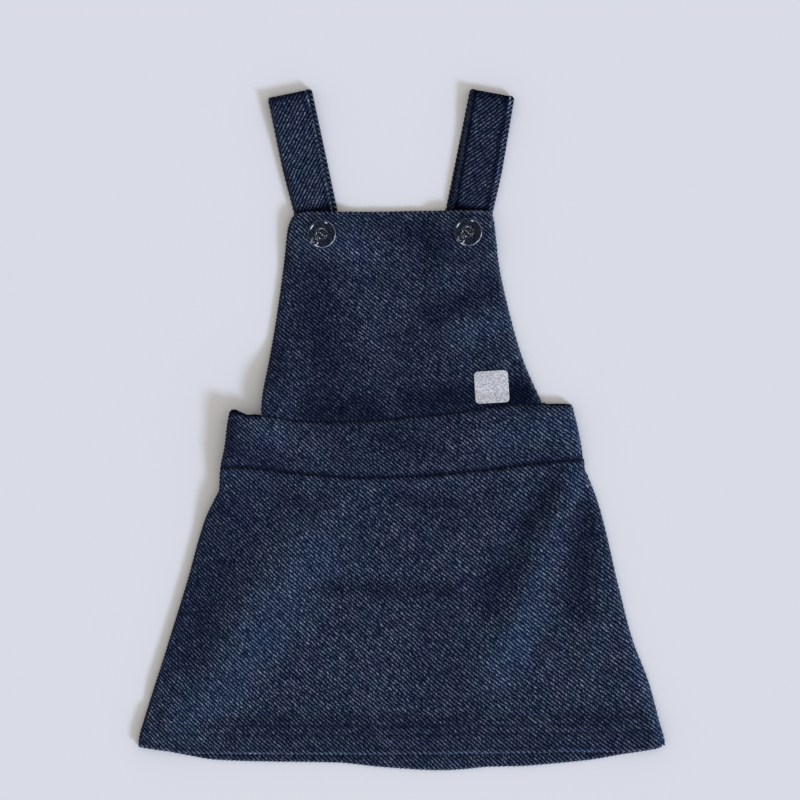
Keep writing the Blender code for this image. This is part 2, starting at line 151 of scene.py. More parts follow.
SKIRT_FOLDS = (
    Fold(-56.0, -62.0, -121.0, -165.0, 22.0, 1.8),      # long ridge to the left hem corner
    Fold(-95.0, -62.0, -134.0, -125.0, 15.0, -0.8),     # hollow on its outer side
    Fold(110.0, -30.0, 74.0, -124.0, 13.0, 2.0),        # ridge from the right end of the waist
    Fold(74.0, -124.0, 56.0, -152.0, 15.0, 1.3),        # its soft lower end
    Fold(90.0, -42.0, 68.0, -86.0, 11.0, -0.8),         # hollow on its inner side
    Fold(121.0, -48.0, 116.0, -108.0, 9.0, -0.7),       # hollow on its outer side
    Fold(124.0, -120.0, 117.0, -152.0, 8.0, 1.0),       # short ridge near the right side
    Fold(-49.0, -102.0, 18.0, -102.0, 9.0, -0.7),       # shallow hollow across the middle
    Fold(0.0, -46.0, 32.0, -46.0, 13.0, -0.7),          # shallow hollow below the waist
)
BIB_FOLDS = (
    Fold(-50.0, 14.0, -24.0, 13.0, 7.0, -0.5),          # dip above the waistband, left
    Fold(14.0, 22.0, 92.0, 24.0, 8.0, -0.9),            # deeper dip above it, right
    Fold(45.0, 76.0, 24.0, 66.0, 10.0, -0.5),           # faint slanting hollow
    Fold(52.0, 60.0, 48.0, 66.0, 12.0, 0.6),            # soft swelling below it
)
LIFTS = (
    Fold(-117.0, 12.0, -120.0, -32.0, 25.0, 4.2),       # left end of the waistband, all its layers
    Fold(-93.0, 8.0, -87.0, 26.0, 20.0, 4.5),           # the bib's lower left corner beside it
    Fold(-128.0, -46.0, -160.0, -160.0, 13.0, 1.3),     # left side of the skirt
)
FOLD_SPREAD = 1.6                       # distance at which a fold has faded out, in widths

# Painted light and shade with some wear: where the cloth is paler, painted light on its ridges and its wear,
# and, with a negative rise, darker, painted shade in its hollows, along seams and edges.
SKIRT_LIGHT_AND_WEAR = (
    Fold(110.0, -34.0, 84.0, -98.0, 10.0, 0.24), Fold(78.0, -118.0, 66.0, -152.0, 16.0, 0.26),
    Fold(96.0, -40.0, 80.0, -60.0, 10.0, -0.32), Fold(68.0, -82.0, 58.0, -110.0, 14.0, -0.26),
    Fold(117.0, -50.0, 113.0, -112.0, 11.0, -0.30), Fold(150.0, -130.0, 167.0, -196.0, 6.0, 0.40),
    Fold(72.0, -134.0, 84.0, -154.0, 9.0, 0.14), Fold(90.0, -134.0, 74.0, -170.0, 6.0, -0.14),
    Fold(-56.0, -82.0, -84.0, -122.0, 20.0, 0.22), Fold(-94.0, -138.0, -134.0, -190.0, 16.0, 0.26),
    Fold(-108.0, -54.0, -136.0, -140.0, 19.0, -0.22), Fold(-52.0, -100.0, 32.0, -103.0, 6.0, -0.24),
    Fold(-6.0, -42.0, 30.0, -46.0, 8.0, -0.18), Fold(-110.0, -187.0, 40.0, -189.0, 6.0, -0.13),
    Fold(100.0, -184.0, 152.0, -184.0, 6.0, -0.15), Fold(30.0, -62.0, 62.0, -44.0, 8.0, -0.12),
    Fold(-88.0, -36.0, -60.0, -50.0, 10.0, -0.12), Fold(20.0, -124.0, 30.0, -160.0, 20.0, -0.08),
    Fold(-150.0, -198.0, 150.0, -198.0, 7.0, -0.06),
)
BIB_LIGHT_AND_WEAR = (
    Fold(-52.0, 92.0, -50.0, 44.0, 17.0, -0.20), Fold(-60.0, 124.0, -20.0, 114.0, 13.0, 0.20),
    Fold(10.0, 126.0, 22.0, 118.0, 11.0, -0.14), Fold(22.0, 74.0, 60.0, 92.0, 10.0, -0.20),
    Fold(38.0, 60.0, 66.0, 71.0, 9.0, 0.30), Fold(-58.0, 16.0, -22.0, 14.0, 11.0, -0.30),
    Fold(6.0, 19.0, 46.0, 22.0, 10.0, -0.30), Fold(66.0, 22.0, 86.0, 26.0, 11.0, -0.44),
    Fold(-80.0, 60.0, -84.0, 30.0, 10.0, -0.12), Fold(-16.0, 60.0, -2.0, 96.0, 14.0, 0.08),
)
BAND_LIGHT_AND_WEAR = (
    Fold(-98.0, 6.0, -54.0, -14.0, 8.0, 0.12), Fold(58.0, -6.0, 100.0, 4.0, 11.0, 0.26),
    Fold(108.0, 6.0, 112.0, -12.0, 7.0, 0.30), Fold(-108.0, 4.0, -112.0, -14.0, 6.0, -0.22),
    Fold(-108.0, 11.6, -91.0, 8.6, 1.6, -0.40), Fold(95.0, 16.4, 108.0, 16.4, 1.4, -0.40),
    Fold(-8.0, -6.0, 12.0, -10.0, 10.0, -0.18), Fold(-104.0, -14.0, -84.0, -18.0, 7.0, -0.18),
)


@dataclass(frozen=True)
class Layers:
    """Walls of the cloth and the heights of its layers, in millimetres."""

    single: float = 1.3                 # one layer of the thick twill
    seam: float = 2.0                   # with its allowance, below the waist seam
    doubled: float = 2.4                # waistband and turned-up hem
    strap: float = 1.6                  # each run of a strap, pressed flat
    bib: float = 2.2                    # the bib with its facing
    gap: float = 0.3                    # clearance between two pieces
    front_rise: float = 2.75            # the front's underside, over the doubled back
    side_rise: float = 1.65             # the same along the side seams
    bib_sag: float = 0.9                # the bib's underside beside the straps
    bib_rise: float = 2.3               # the same at the waistband
    bib_fall: float = 55.0              # length over which it comes down from there
    side_fall: float = 14.0             # width over which the front comes down to a side seam
    hem_depth: float = 20.0             # turned-up hem
    hem_fade: float = 4.0               # width over which it goes from two layers to one
    seam_fade: float = 9.0              # the same below the waist seam and above the band
    waist_puff: float = 0.5             # rise of the waistband between its seams


LAYERS = Layers()
SEAM_DIP = Line(0.0, 2.2, 0.5)          # how far a seam draws the cloth beside it down
LIT_SIDE = Line(0.0, 3.4, 0.34)        # painted light along a panel's right side
SHADED_SIDE = Line(0.0, 6.0, -0.06)       # painted shade along its left side
BUTTON_CENTRES = {"left": (-51.2, 125.0), "right": (42.3, 126.2)}


# ---- curves and small sums --------------------------------------------------------


def lerp(start: Array | float, end: Array | float, share: Array | float) -> Array | float:
    """Return the value a share of the way from start to end."""
    return start + (end - start) * share


def ease(share: Array) -> Array:
    """Return a smooth step: 0 at and below 0, 1 at and above 1."""
    share = np.clip(share, 0.0, 1.0)
    return share * share * (3.0 - 2.0 * share)


def rounded(distance: Array, reach: float) -> Array:
    """Return a quarter circle's height: 0 at an edge, 1 from reach inwards."""
    return np.sqrt(1.0 - (1.0 - np.clip(distance / reach, 0.0, 1.0)) ** 2)


def bell(distance: Array, width: float) -> Array:
    """Return a soft bump: 1 at distance 0, fading over width."""
    return np.exp(-((distance / width) ** 2))


@dataclass(frozen=True)
class SmoothCurve:
    """A curve without overshoot through (t, value) points, moved by shift."""

    points: Sequence[tuple[float, float]]
    shift: float = 0.0

    def __call__(self, t: Array) -> Array:
        """Read the curve.

        Args:
            t: Where to read it; it stays level past its two ends.

        Returns:
            The values there.
        """
        knots, values = np.array(sorted(self.points), float).T
        spans = np.diff(knots)
        slopes = np.diff(values) / spans
        before, after = slopes[:-1], slopes[1:]
        same_way = before * after > 0.0
        inner = np.where(same_way, 2.0 * before * after / np.where(same_way, before + after, 1.0), 0.0)
        tangents = np.concatenate([slopes[:1], inner, slopes[-1:]])
        t = np.clip(t, knots[0], knots[-1])
        index = np.clip(np.searchsorted(knots, t, side="right") - 1, 0, len(spans) - 1)
        s = (t - knots[index]) / spans[index]
        pull = (1.0 - s) * tangents[index] - s * tangents[index + 1]
        bent = s * (1.0 - s) * pull * spans[index]
        return lerp(values[index], values[index + 1], s * s * (3.0 - 2.0 * s)) + bent + self.shift

    def moved(self, distance: float) -> "SmoothCurve":
        """Return the same curve moved by a distance."""
        return SmoothCurve(self.points, self.shift + distance)


def left_edge(rows: Sequence[Side]) -> SmoothCurve:
    """Return x(y) of a panel's left side."""
    return SmoothCurve([(row.y, row.left) for row in rows])


def right_edge(rows: Sequence[Side]) -> SmoothCurve:
    """Return x(y) of a panel's right side."""
    return SmoothCurve([(row.y, row.right) for row in rows])


def painted_side_light(rows: Sequence[Side], x: Array, y: Array) -> Array:
    """Return the painted light and shade along a panel's sides: painted shade on the left, painted light on
    the right.
    """
    return LIT_SIDE.at(right_edge(rows)(y) - x) + SHADED_SIDE.at(x - left_edge(rows)(y))


band_top = SmoothCurve(BAND_TOP)
back_band_top = SmoothCurve(BACK_BAND_TOP)
waist_seam = SmoothCurve(WAIST_SEAM, 0.4)
below_waist = waist_seam.moved(-LAYERS.gap / 2.0)
above_waist = waist_seam.moved(LAYERS.gap / 2.0)
front_hem = SmoothCurve(FRONT_HEM)
back_hem = SmoothCurve(BACK_HEM)
bib_top = SmoothCurve(BIB_TOP)


def fold_rise(folds: Sequence[Fold], x: Array, y: Array) -> Array:
    """Add up how far folds lift the cloth.

    Args:
        folds: The folds.
        x: Places across the dress.
        y: Places up the dress.

    Returns:
        The lift at each place.
    """
    rise = np.zeros_like(x)
    for fold in folds:
        run_x, run_y = fold.x1 - fold.x0, fold.y1 - fold.y0
        along = ((x - fold.x0) * run_x + (y - fold.y0) * run_y) / (run_x**2 + run_y**2)
        along = np.clip(along, 0.0, 1.0)
        distance = np.hypot(x - fold.x0 - run_x * along, y - fold.y0 - run_y * along)
        rise += fold.rise * ease(1.0 - distance / (fold.width * FOLD_SPREAD))
    return rise


@dataclass(frozen=True)
class Ripple:
    """Small uneven waves that keep cloth from lying dead flat."""

    seed: int
    height: float
    shortest: float
    longest: float
    count: int = 28

    def __call__(self, x: Array, y: Array) -> Array:
        """Add up the waves.

        Args:
            x: Places across the dress.
            y: Places up the dress.

        Returns:
            Their height at each place.
        """
        draw = np.random.default_rng(self.seed)
        total = np.zeros_like(x)
        for _ in range(self.count):
            length = draw.uniform(self.shortest, self.longest)
            angle, phase = draw.uniform(0.0, math.pi), draw.uniform(0.0, math.tau)
            wave = (x * math.cos(angle) + y * math.sin(angle)) * math.tau / length + phase
            total += np.sin(wave) * length / self.longest
        return total * self.height / math.sqrt(self.count / 2.0)


# ---- cloth surfaces ---------------------------------------------------------------


class Face(Enum):
    """The two faces of a cloth wall."""

    UPPER = 1.0
    LOWER = -1.0


class Edge(Enum):
    """The four edges of a piece of cloth, seen from above."""

    LEFT = "left"
    RIGHT = "right"
    TOP = "top"
    BOTTOM = "bottom"

    def flat(self, surface: "Surface", place: Array, inwards: Array) -> tuple[Array, Array]:
        """Turn places along the edge into flat coordinates.

        Args:
            surface: The cloth.
            place: Distances along the edge.
            inwards: Distances in from it.

        Returns:
            The distances across and up.
        """
        match self:
            case Edge.LEFT:
                return inwards, place
            case Edge.RIGHT:
                return surface.width - inwards, place
            case Edge.TOP:
                return place, surface.length - inwards
        return place, inwards


class Surface(Protocol):
    """A piece of cloth on flat coordinates: millimetres from its left and bottom edges."""

    width: float
    length: float

    def points(self, across: Array, up: Array, face: Face) -> Array:
        """Return the points of a face, in millimetres."""

    def weave(self, across: Array, up: Array) -> Array:
        """Return each place's way along its twill row, and the row's number."""

    def light_and_wear(self, across: Array, up: Array) -> Array:
        """Return how much paler each place is from painted light and wear, or darker from painted shade
        where negative.
        """


@dataclass(frozen=True)
class TwillLay:
    """How the twill's diagonal rows lie on a flat panel; angles are from +X, in degrees."""

    left_angle: float
    right_angle: float
    half_width: float
    pitch: float = 2.05

    def rows(self, x: Array, y: Array) -> Array:
        """Number the rows.

        Args:
            x: Places across the dress.
            y: Places up the dress.

        Returns:
            The way along a row and the row's number, side by side.
        """
        left = math.tan(math.radians(self.left_angle))
        right = math.tan(math.radians(self.right_angle))
        middle = (left + right) / 2.0
        rise = middle * x + (right - left) / (2.0 * self.half_width) * x * x / 2.0
        narrowing = math.cos(math.atan(middle))
        return np.stack([x / narrowing, (y - rise) * narrowing / self.pitch], axis=1)


@dataclass(frozen=True)
class Plan:
    """A panel's outline: four curved edges, with even distances inside them."""

    top: SmoothCurve
    bottom: SmoothCurve
    sides: Sequence[Side]
    width: float
    length: float
    margin: float                       # along the edges, distances are true this far in
    passes: int = 8                     # rounds that settle a point between its edges

    def spread(self, place: Array, size: float, low: Array, high: Array) -> Array:
        """Place a flat distance between two edges.

        Args:
            place: The flat distances.
            size: The flat distance from edge to edge.
            low: The first edge.
            high: The second edge.

        Returns:
            Where the distances fall, true near both edges and evened out between them.
        """
        inner = (place - self.margin) / (size - 2.0 * self.margin)
        between = lerp(low + self.margin, high - self.margin, inner)
        near_low = np.where(place < self.margin, low + place, between)
        return np.where(place > size - self.margin, high - (size - place), near_low)

    def place(self, across: Array, up: Array) -> tuple[Array, Array]:
        """Find plan points.

        Args:
            across: Flat distances from the left edge.
            up: Flat distances from the bottom edge.

        Returns:
            The x and the y of each point.
        """
        left, right = left_edge(self.sides), right_edge(self.sides)
        middle = np.zeros_like(across)
        y = self.spread(up, self.length, self.bottom(middle), self.top(middle))
        for _ in range(self.passes):
            x = self.spread(across, self.width, left(y), right(y))
            y = self.spread(up, self.length, self.bottom(x), self.top(x))
        return x, y


def even(value: float) -> Height:
    """Return a height, a wall or wear that is the same everywhere."""
    return lambda x, y: np.full_like(x, value)


def wall_share(surface: Surface, across: Array, up: Array, side: float, bottom: float,
               top: float) -> Array:
    """Return a wall's thickness as a share: 0 at its rounded edges, 1 further in than their rolls."""
    sides = rounded(across, side) * rounded(surface.width - across, side)
    return sides * rounded(up, bottom) * rounded(surface.length - up, top)


@dataclass(frozen=True)
class Panel:
    """A flat-lying panel: its plan, the middle of its wall, the wall and its rounded edges."""

    plan: Plan
    lay: TwillLay
    middle: Height
    wall: Height
    side_roll: float = 1.6              # how far in from a side edge the cloth rounds over
    top_roll: float = 1.2
    bottom_roll: float = 1.2
    wrap: float = 1.3                   # cloth taken up by each rounded side edge
    # painted light and shade with the wear, as paleness at each place
    lit_and_worn: Height = even(0.0)

    @property
    def width(self) -> float:
        """Return the flat width."""
        return self.plan.width

    @property
    def length(self) -> float:
        """Return the flat length."""
        return self.plan.length

    def points(self, across: Array, up: Array, face: Face) -> Array:
        """Find the points of a face.

        Args:
            across: Flat distances from the left edge.
            up: Flat distances from the bottom edge.
            face: Which face.

        Returns:
            The points, in millimetres.
        """
        x, y = self.plan.place(across, up)
        shape = wall_share(self, across, up, self.side_roll, self.bottom_roll, self.top_roll)
        half = self.wall(x, y) / 2.0 * shape
        high = self.middle(x, y) + fold_rise(LIFTS, x, y) + face.value * half
        return np.stack([x, y, high], axis=1)

    def weave(self, across: Array, up: Array) -> Array:
        """Number the twill's rows, which bend where the cloth wraps round its side edges.

        Args:
            across: Flat distances from the left edge.
            up: Flat distances from the bottom edge.

        Returns:
            The way along a row and the row's number, side by side.
        """
        x, y = self.plan.place(across, up)
        left = 1.0 - rounded(across, 2.0 * self.side_roll)
        right = 1.0 - rounded(self.width - across, 2.0 * self.side_roll)
        return self.lay.rows(x + self.wrap * (right - left), y)

    def light_and_wear(self, across: Array, up: Array) -> Array:
        """Return how much paler each place is from painted light and wear."""
        return self.lit_and_worn(*self.plan.place(across, up))

    def build(self, node: str, step: float, wardrobe: "Wardrobe",
              grooves: Sequence[float] = ()) -> Object:
        """Build and dress the panel's cloth.

        Args:
            node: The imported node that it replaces.
            step: The widest cell of its grid.
            wardrobe: The finishes.
            grooves: Flat distances of its stitched grooves from the bottom edge.

        Returns:
            The cloth, named after the node.
        """
        columns = stations(self.width, step, self.side_roll, self.side_roll)
        rows = stations(self.length, step, self.bottom_roll, self.top_roll, grooves)
        cloth = cloth_shell(f"{node}_cloth", self, columns, rows)
        return dress(cloth, wardrobe.twill, Slot.TWILL, node)


ROLL_LINES = 6                          # grid lines on a rounded edge
GROOVE_LINES = (-1.3, -0.8, -0.4, 0.0, 0.4, 0.8, 1.3)   # grid lines beside a stitched groove


def stations(size: float, step: float, low_roll: float, high_roll: float,
             marks: Sequence[float] = ()) -> Array:
    """Place the grid lines of a piece of cloth.

    Args:
        size: The flat distance from edge to edge.
        step: The widest cell.
        low_roll: How far in the first edge is rounded.
        high_roll: How far in the second edge is rounded.
        marks: Places of stitched grooves, which get close lines.

    Returns:
        The lines' flat distances, from 0 to size.
    """
    turn = 1.0 - np.cos(np.linspace(0.0, math.pi / 2.0, ROLL_LINES))
    close = np.array(GROOVE_LINES)
    fixed = [turn * low_roll, size - turn * high_roll, *[mark + close for mark in marks]]
    anchors = np.unique(np.round(np.concatenate(fixed), 3))
    anchors[-1] = size
    cells = [
        np.linspace(start, end, max(1, math.ceil((end - start) / step)), endpoint=False)
        for start, end in zip(anchors, anchors[1:])
    ]
    return np.append(np.concatenate(cells), anchors[-1])


# ---- meshes -----------------------------------------------------------------------


def deselect() -> None:
    """Deselect every object."""
    bpy.ops.object.select_all(action="DESELECT")


def activate(piece: Object) -> None:
    """Select one piece alone and make it the active one.

    Args:
        piece: The piece.
    """
    deselect()
    piece.select_set(True)
    bpy.context.view_layer.objects.active = piece


@contextmanager
def editing() -> Iterator[None]:
    """Edit the active mesh, at first with all of it selected.

    Yields:
        Nothing; object mode comes back afterwards.
    """
    bpy.ops.object.mode_set(mode="EDIT")
    bpy.ops.mesh.select_all(action="SELECT")
    yield
    bpy.ops.object.mode_set(mode="OBJECT")


def read_points(mesh: bpy.types.Mesh) -> Array:
    """Read a mesh's points.

    Args:
        mesh: The mesh.

    Returns:
        The points as rows of three numbers, in Blender's units.
    """
    flat = np.zeros(len(mesh.vertices) * 3, np.float32)
    mesh.vertices.foreach_get("co", flat)
    return flat.reshape(-1, 3).astype(float)


def write_points(mesh: bpy.types.Mesh, points: Array) -> None:
    """Move a mesh's points, given in millimetres."""
    mesh.vertices.foreach_set("co", (points * MM).astype(np.float32).ravel())
    mesh.update()


def write_weave(mesh: bpy.types.Mesh, rows: Array, light_and_wear: Array) -> None:
    """Store the twill's rows as the mesh's UV map, and its painted light and wear as an attribute.

    Args:
        mesh: The mesh, with one UV map.
        rows: For each point, the way along its row and the row's number.
        light_and_wear: For each point, how much paler it is from painted light and wear.
    """
    lit_and_worn = mesh.attributes.new(LIGHT_AND_WEAR, "FLOAT", "POINT")
    lit_and_worn.data.foreach_set("value", light_and_wear.astype(np.float32))
    layer = mesh.uv_layers[0]
    layer.name = WEAVE_MAP
    corner = np.zeros(len(mesh.loops), np.int32)
    mesh.loops.foreach_get("vertex_index", corner)
    layer.data.foreach_set("uv", rows[corner].astype(np.float32).ravel())


def cloth_face(surface: Surface, columns: Array, rows: Array, face: Face) -> Object:
    """Shape a grid primitive into one face of a piece of cloth.

    Args:
        surface: The cloth.
        columns: Flat distances of the grid's columns.
        rows: Flat distances of its rows.
        face: Which face to shape.

    Returns:
        The face as an object, its normals pointing out of the cloth.
    """
    deselect()
    cells = len(columns) - 1, len(rows) - 1
    bpy.ops.mesh.primitive_grid_add(x_subdivisions=cells[0], y_subdivisions=cells[1], size=1.0)
    sheet = bpy.context.object
    flat = read_points(sheet.data)
    across = columns[np.rint((flat[:, 0] + 0.5) * cells[0]).astype(int)]
    up = rows[np.rint((flat[:, 1] + 0.5) * cells[1]).astype(int)]
    write_points(sheet.data, surface.points(across, up, face))
    write_weave(sheet.data, surface.weave(across, up), surface.light_and_wear(across, up))
    if face is Face.LOWER:
        with editing():
            bpy.ops.mesh.flip_normals()
    return sheet


def cloth_shell(name: str, surface: Surface, columns: Array, rows: Array) -> Object:
    """Build a piece of cloth as two faces that meet along its rounded edges.

    Args:
        name: The piece's name.
        surface: The cloth.
        columns: Flat distances of the grid's columns.
        rows: Flat distances of its rows.

    Returns:
        The closed piece.
    """
    upper = cloth_face(surface, columns, rows, Face.UPPER)
    lower = cloth_face(surface, columns, rows, Face.LOWER)
    activate(upper)
    lower.select_set(True)
    bpy.ops.object.join()
    with editing():
        bpy.ops.mesh.remove_doubles(threshold=MERGE)
        bpy.ops.mesh.select_all(action="DESELECT")
    mesh = upper.data
    ends = np.zeros(len(mesh.edges) * 2, np.int32)
    mesh.edges.foreach_get("vertices", ends)
    # The four corners have two edges each.  Without them, no two faces lie on each other.
    mesh.vertices.foreach_set("select", np.bincount(ends, minlength=len(mesh.vertices)) == 2)
    bpy.ops.object.mode_set(mode="EDIT")
    bpy.ops.mesh.dissolve_verts()
    bpy.ops.object.mode_set(mode="OBJECT")
    bpy.ops.object.shade_smooth()
    upper.name = mesh.name = name
    return upper


def tubes(name: str, paths: Array, radii: Array) -> Object:
    """Build many short threads as one mesh of round tubes.

    Args:
        name: The piece's name.
        paths: The threads' points in millimetres, as threads x points x 3.
        radii: The radius at each point of a thread, in millimetres.

    Returns:
        The joined threads, with closed ends.
    """
    curve = bpy.data.curves.new(name, "CURVE")
    curve.dimensions = "3D"
    curve.bevel_depth = MM
    curve.bevel_resolution = 1
    curve.use_fill_caps = True
    for path in paths:
        spline = curve.splines.new("POLY")
        spline.points.add(len(path) - 1)
        spline.points.foreach_set("co", np.column_stack([path * MM, np.ones(len(path))]).ravel())
        spline.points.foreach_set("radius", np.asarray(radii, float))
    piece = bpy.data.objects.new(name, curve)
    bpy.context.scene.collection.objects.link(piece)
    activate(piece)
    bpy.ops.object.convert(target="MESH")
    with editing():
        bpy.ops.mesh.remove_doubles(threshold=MERGE / 10.0)
        bpy.ops.mesh.normals_make_consistent(inside=False)
    bpy.ops.object.shade_smooth()
    return bpy.context.object


@dataclass(frozen=True)
class EdgeRibs:
    """The twill's rows where they wrap round an edge, as short ribs half sunk in the cloth."""

    radius: float = 0.58
    reach: float = 2.0                  # how far in a rib begins on the upper face
    under: float = 1.0                  # how far in it ends on the lower face
    steps: int = 9
    sink: float = 0.26                  # depth of a rib's middle below the cloth's face
    least_wall: float = 0.1             # wall that is left beyond that, or a rib sinks less
    margin: float = 2.0                 # bare length at each end of an edge
    samples: int = 4000                 # places along an edge where the rows are read
    probe: float = 4.0                  # how far in the rows' slant is read

    def starts(self, surface: Surface, edge: Edge, high: float) -> tuple[Array, float]:
        """Find where the middles of the rows meet an edge.

        Args:
            surface: The cloth.
            edge: The edge.
            high: Where along the edge to end.

        Returns:
            The places along the edge, and how far a row runs along it for each step inwards.
        """
        place = np.linspace(self.margin, high, self.samples)
        here, further = (surface.weave(*edge.flat(surface, place, np.full_like(place, inwards)))[:, 1]
                         for inwards in (0.0, self.probe))
        met = np.nonzero(np.diff(np.floor(here - 0.5)))[0]
        slope = np.gradient(here, place)
        return place[met], float(np.median(-(further - here) / self.probe / slope))

    def paths(self, surface: Surface, edge: Edge) -> Array:
        """Route the ribs of one edge.

        Args:
            surface: The cloth.
            edge: The edge.

        Returns:
            The ribs' points, as ribs x points x 3, none of them under the floor.
        """
        high = (surface.width if edge in (Edge.TOP, Edge.BOTTOM) else surface.length) - self.margin
        place, drift = self.starts(surface, edge, high)
        points = []
        for inwards in np.linspace(self.reach, -self.under, self.steps):
            face = Face.UPPER if inwards >= 0.0 else Face.LOWER
            slid = np.clip(place + drift * inwards, self.margin, high)
            flat = edge.flat(surface, slid, np.full_like(place, abs(inwards)))
            spot = surface.points(*flat, face)
            through = surface.points(*flat, Face(-face.value)) - spot
            depth = self.sink * min(1.0, abs(inwards) / self.reach * 2.0)
            wall = np.linalg.norm(through, axis=1)
            spot += through * depth / np.maximum(wall, depth + self.least_wall)[:, None]
            spot[:, 2] = np.maximum(spot[:, 2], self.radius)
            points.append(spot)
        return np.stack(points, axis=1)

    def radii(self) -> Array:
        """Return a rib's radius at each of its points, fading out at both ends."""
        share = np.linspace(0.0, 1.0, self.steps)
        return self.radius * np.sqrt(np.clip(4.0 * share * (1.0 - share), 0.05, 1.0))

    def build(self, name: str, surface: Surface, edges: Sequence[Edge],
              wardrobe: "Wardrobe") -> list[Object]:
        """Build and dress the ribs of some edges: dark thread on the left edge as painted shade, the pale
        rows elsewhere as painted light.

        Args:
            name: The piece of cloth.
            surface: The cloth.
            edges: Its edges, the left one first.
            wardrobe: The finishes.

        Returns:
            The ribs on the left, and the others.
        """
        # painted light and shade: the left edge's ribs get the dark thread, the others the pale rows
        sides = (("left", edges[:1], wardrobe.thread), ("edge", edges[1:], wardrobe.rib))
        pieces = []
        for part, chosen, finish in sides:
            runs = np.concatenate([self.paths(surface, edge) for edge in chosen])
            pieces.append(dress(tubes(f"{name}_{part}", runs, self.radii()), finish, Slot.TWILL))
        return pieces


@dataclass(frozen=True)
class Stitching:
    """A row of machine stitches on a piece of cloth."""

    stitch: float = 2.7                 # length of a stitch with the cloth between two
    covered: float = 0.82               # share of it that the thread covers
    radius: float = 0.26
    proud: float = 0.12                 # rise of the thread's middle over the cloth
    dive: float = 0.3                   # depth of its ends in the cloth
    taper: tuple[float, ...] = (0.6, 0.95, 1.0, 1.0, 0.95, 0.6)     # its thickness from end to end

    def paths(self, surface: Surface, start: tuple[float, float], end: tuple[float, float]) -> Array:
        """Route a row's stitches between two flat places.

        Args:
            surface: The cloth.
            start: Across and up where the row begins.
            end: Across and up where it ends.

        Returns:
            The stitches' points, as stitches x points x 3.
        """
        run = math.dist(start, end)
        count = int(run / self.stitch)
        share = np.linspace(0.0, 1.0, len(self.taper))
        along = (np.arange(count)[:, None] + share * self.covered) * self.stitch / run
        across, up = lerp(start[0], end[0], along).ravel(), lerp(start[1], end[1], along).ravel()
        spots = surface.points(across, up, Face.UPPER).reshape(count, -1, 3)
        spots[:, :, 2] += lerp(-self.dive, self.proud, np.sin(np.pi * share) ** 0.5)
        return spots

    def radii(self) -> Array:
        """Return a stitch's radius at each of its points."""
        return self.radius * np.array(self.taper)


# ---- materials --------------------------------------------------------------------


class Mottle(NamedTuple):
    """A noise that is stretched about its middle and then set to a share over a base."""

    scale: float                        # grains a unit of the place
    detail: float
    gain: float
    share: float = 1.0
    base: float = 0.0


class Graph:
    """The nodes of one material around its Principled shader."""

    def __init__(self, name: str) -> None:
        """Start a material.

        Args:
            name: The material's name.
        """
        self.material = bpy.data.materials.new(name)
        self.material.use_nodes = True
        self.tree = self.material.node_tree
        self.shader = self.tree.nodes["Principled BSDF"]

    def put(self, socket: bpy.types.NodeSocket, value: "Socket | float | Sequence[float]") -> None:
        """Link a value to a socket, or set it there.

        Args:
            socket: The socket.
            value: A link's source, a number, a vector or a colour.
        """
        if isinstance(value, Socket):
            self.tree.links.new(value.source, socket)
        elif socket.type == "RGBA" and not isinstance(value, (int, float)):
            socket.default_value = (*value[:3], 1.0)
        else:
            socket.default_value = value

    def add(self, kind: str, settings: dict | None = None, inputs: dict | None = None,
            output: int | str = 0) -> "Socket":
        """Add any node.

        Args:
            kind: The node's type.
            settings: Its own settings, which are set first.
            inputs: Values or links for its sockets, by name or number.
            output: The output to return.

        Returns:
            That output.
        """
        node = self.tree.nodes.new(kind)
        for key, value in (settings or {}).items():
            setattr(node, key, value)
        for key, value in (inputs or {}).items():
            self.put(node.inputs[key], value)
        return Socket(self, node.outputs[output])

    def noise(self, place: "Socket", scale: float, detail: float) -> "Socket":
        """Return a noise of about 0 to 1 on a place, with scale grains a unit."""
        inputs = {"Vector": place, "Scale": scale, "Detail": detail}
        return self.add("ShaderNodeTexNoise", {"noise_dimensions": "3D"}, inputs)

    def mottle(self, place: "Socket", look: Mottle) -> "Socket":
        """Return such a noise on a place."""
        return self.noise(place, look.scale, look.detail).spread(look.gain) * look.share + look.base

    def place(self) -> "Socket":
        """Return the place on the object, in metres."""
        return self.add("ShaderNodeTexCoord", output="Object")

    def weave(self) -> tuple["Socket", "Socket"]:
        """Return the two numbers of a piece's own map."""
        uv = self.add("ShaderNodeUVMap", {"uv_map": WEAVE_MAP})
        return tuple(self.add("ShaderNodeSeparateXYZ", inputs={0: uv}, output=axis) for axis in (0, 1))

    def vector(self, x: "Socket | float", y: "Socket | float", z: "Socket | float" = 0.0) -> "Socket":
        """Return a vector of three numbers."""
        return self.add("ShaderNodeCombineXYZ", inputs={0: x, 1: y, 2: z})

    def mix(self, share: "Socket | float", first: "Socket | Colour",
            second: "Socket | Colour", blend: str = "MIX") -> "Socket":
        """Return a mix of two colours."""
        settings = {"data_type": "RGBA", "blend_type": blend}
        return self.add("ShaderNodeMix", settings, {0: share, 6: first, 7: second}, 2)

    def scaled(self, colour: "Socket | Colour", factor: "Socket | float") -> "Socket":
        """Return a colour made brighter or darker."""
        return self.add("ShaderNodeVectorMath", {"operation": "SCALE"}, {0: colour, "Scale": factor})

    def bump(self, height: "Socket", distance: float) -> "Socket":
        """Return the normal over a height from 0 to 1, distance metres deep."""
        inputs = {"Strength": 1.0, "Distance": distance, "Height": height}
        return self.add("ShaderNodeBump", inputs=inputs)

    def finish(self, **values: "Socket | float | Colour") -> bpy.types.Material:
        """Fill the shader's sockets, named with _ for a space.

        Args:
            values: Each socket's value or link.

        Returns:
            The material.
        """
        for name, value in values.items():
            self.put(self.shader.inputs[name.replace("_", " ")], value)
        return self.material


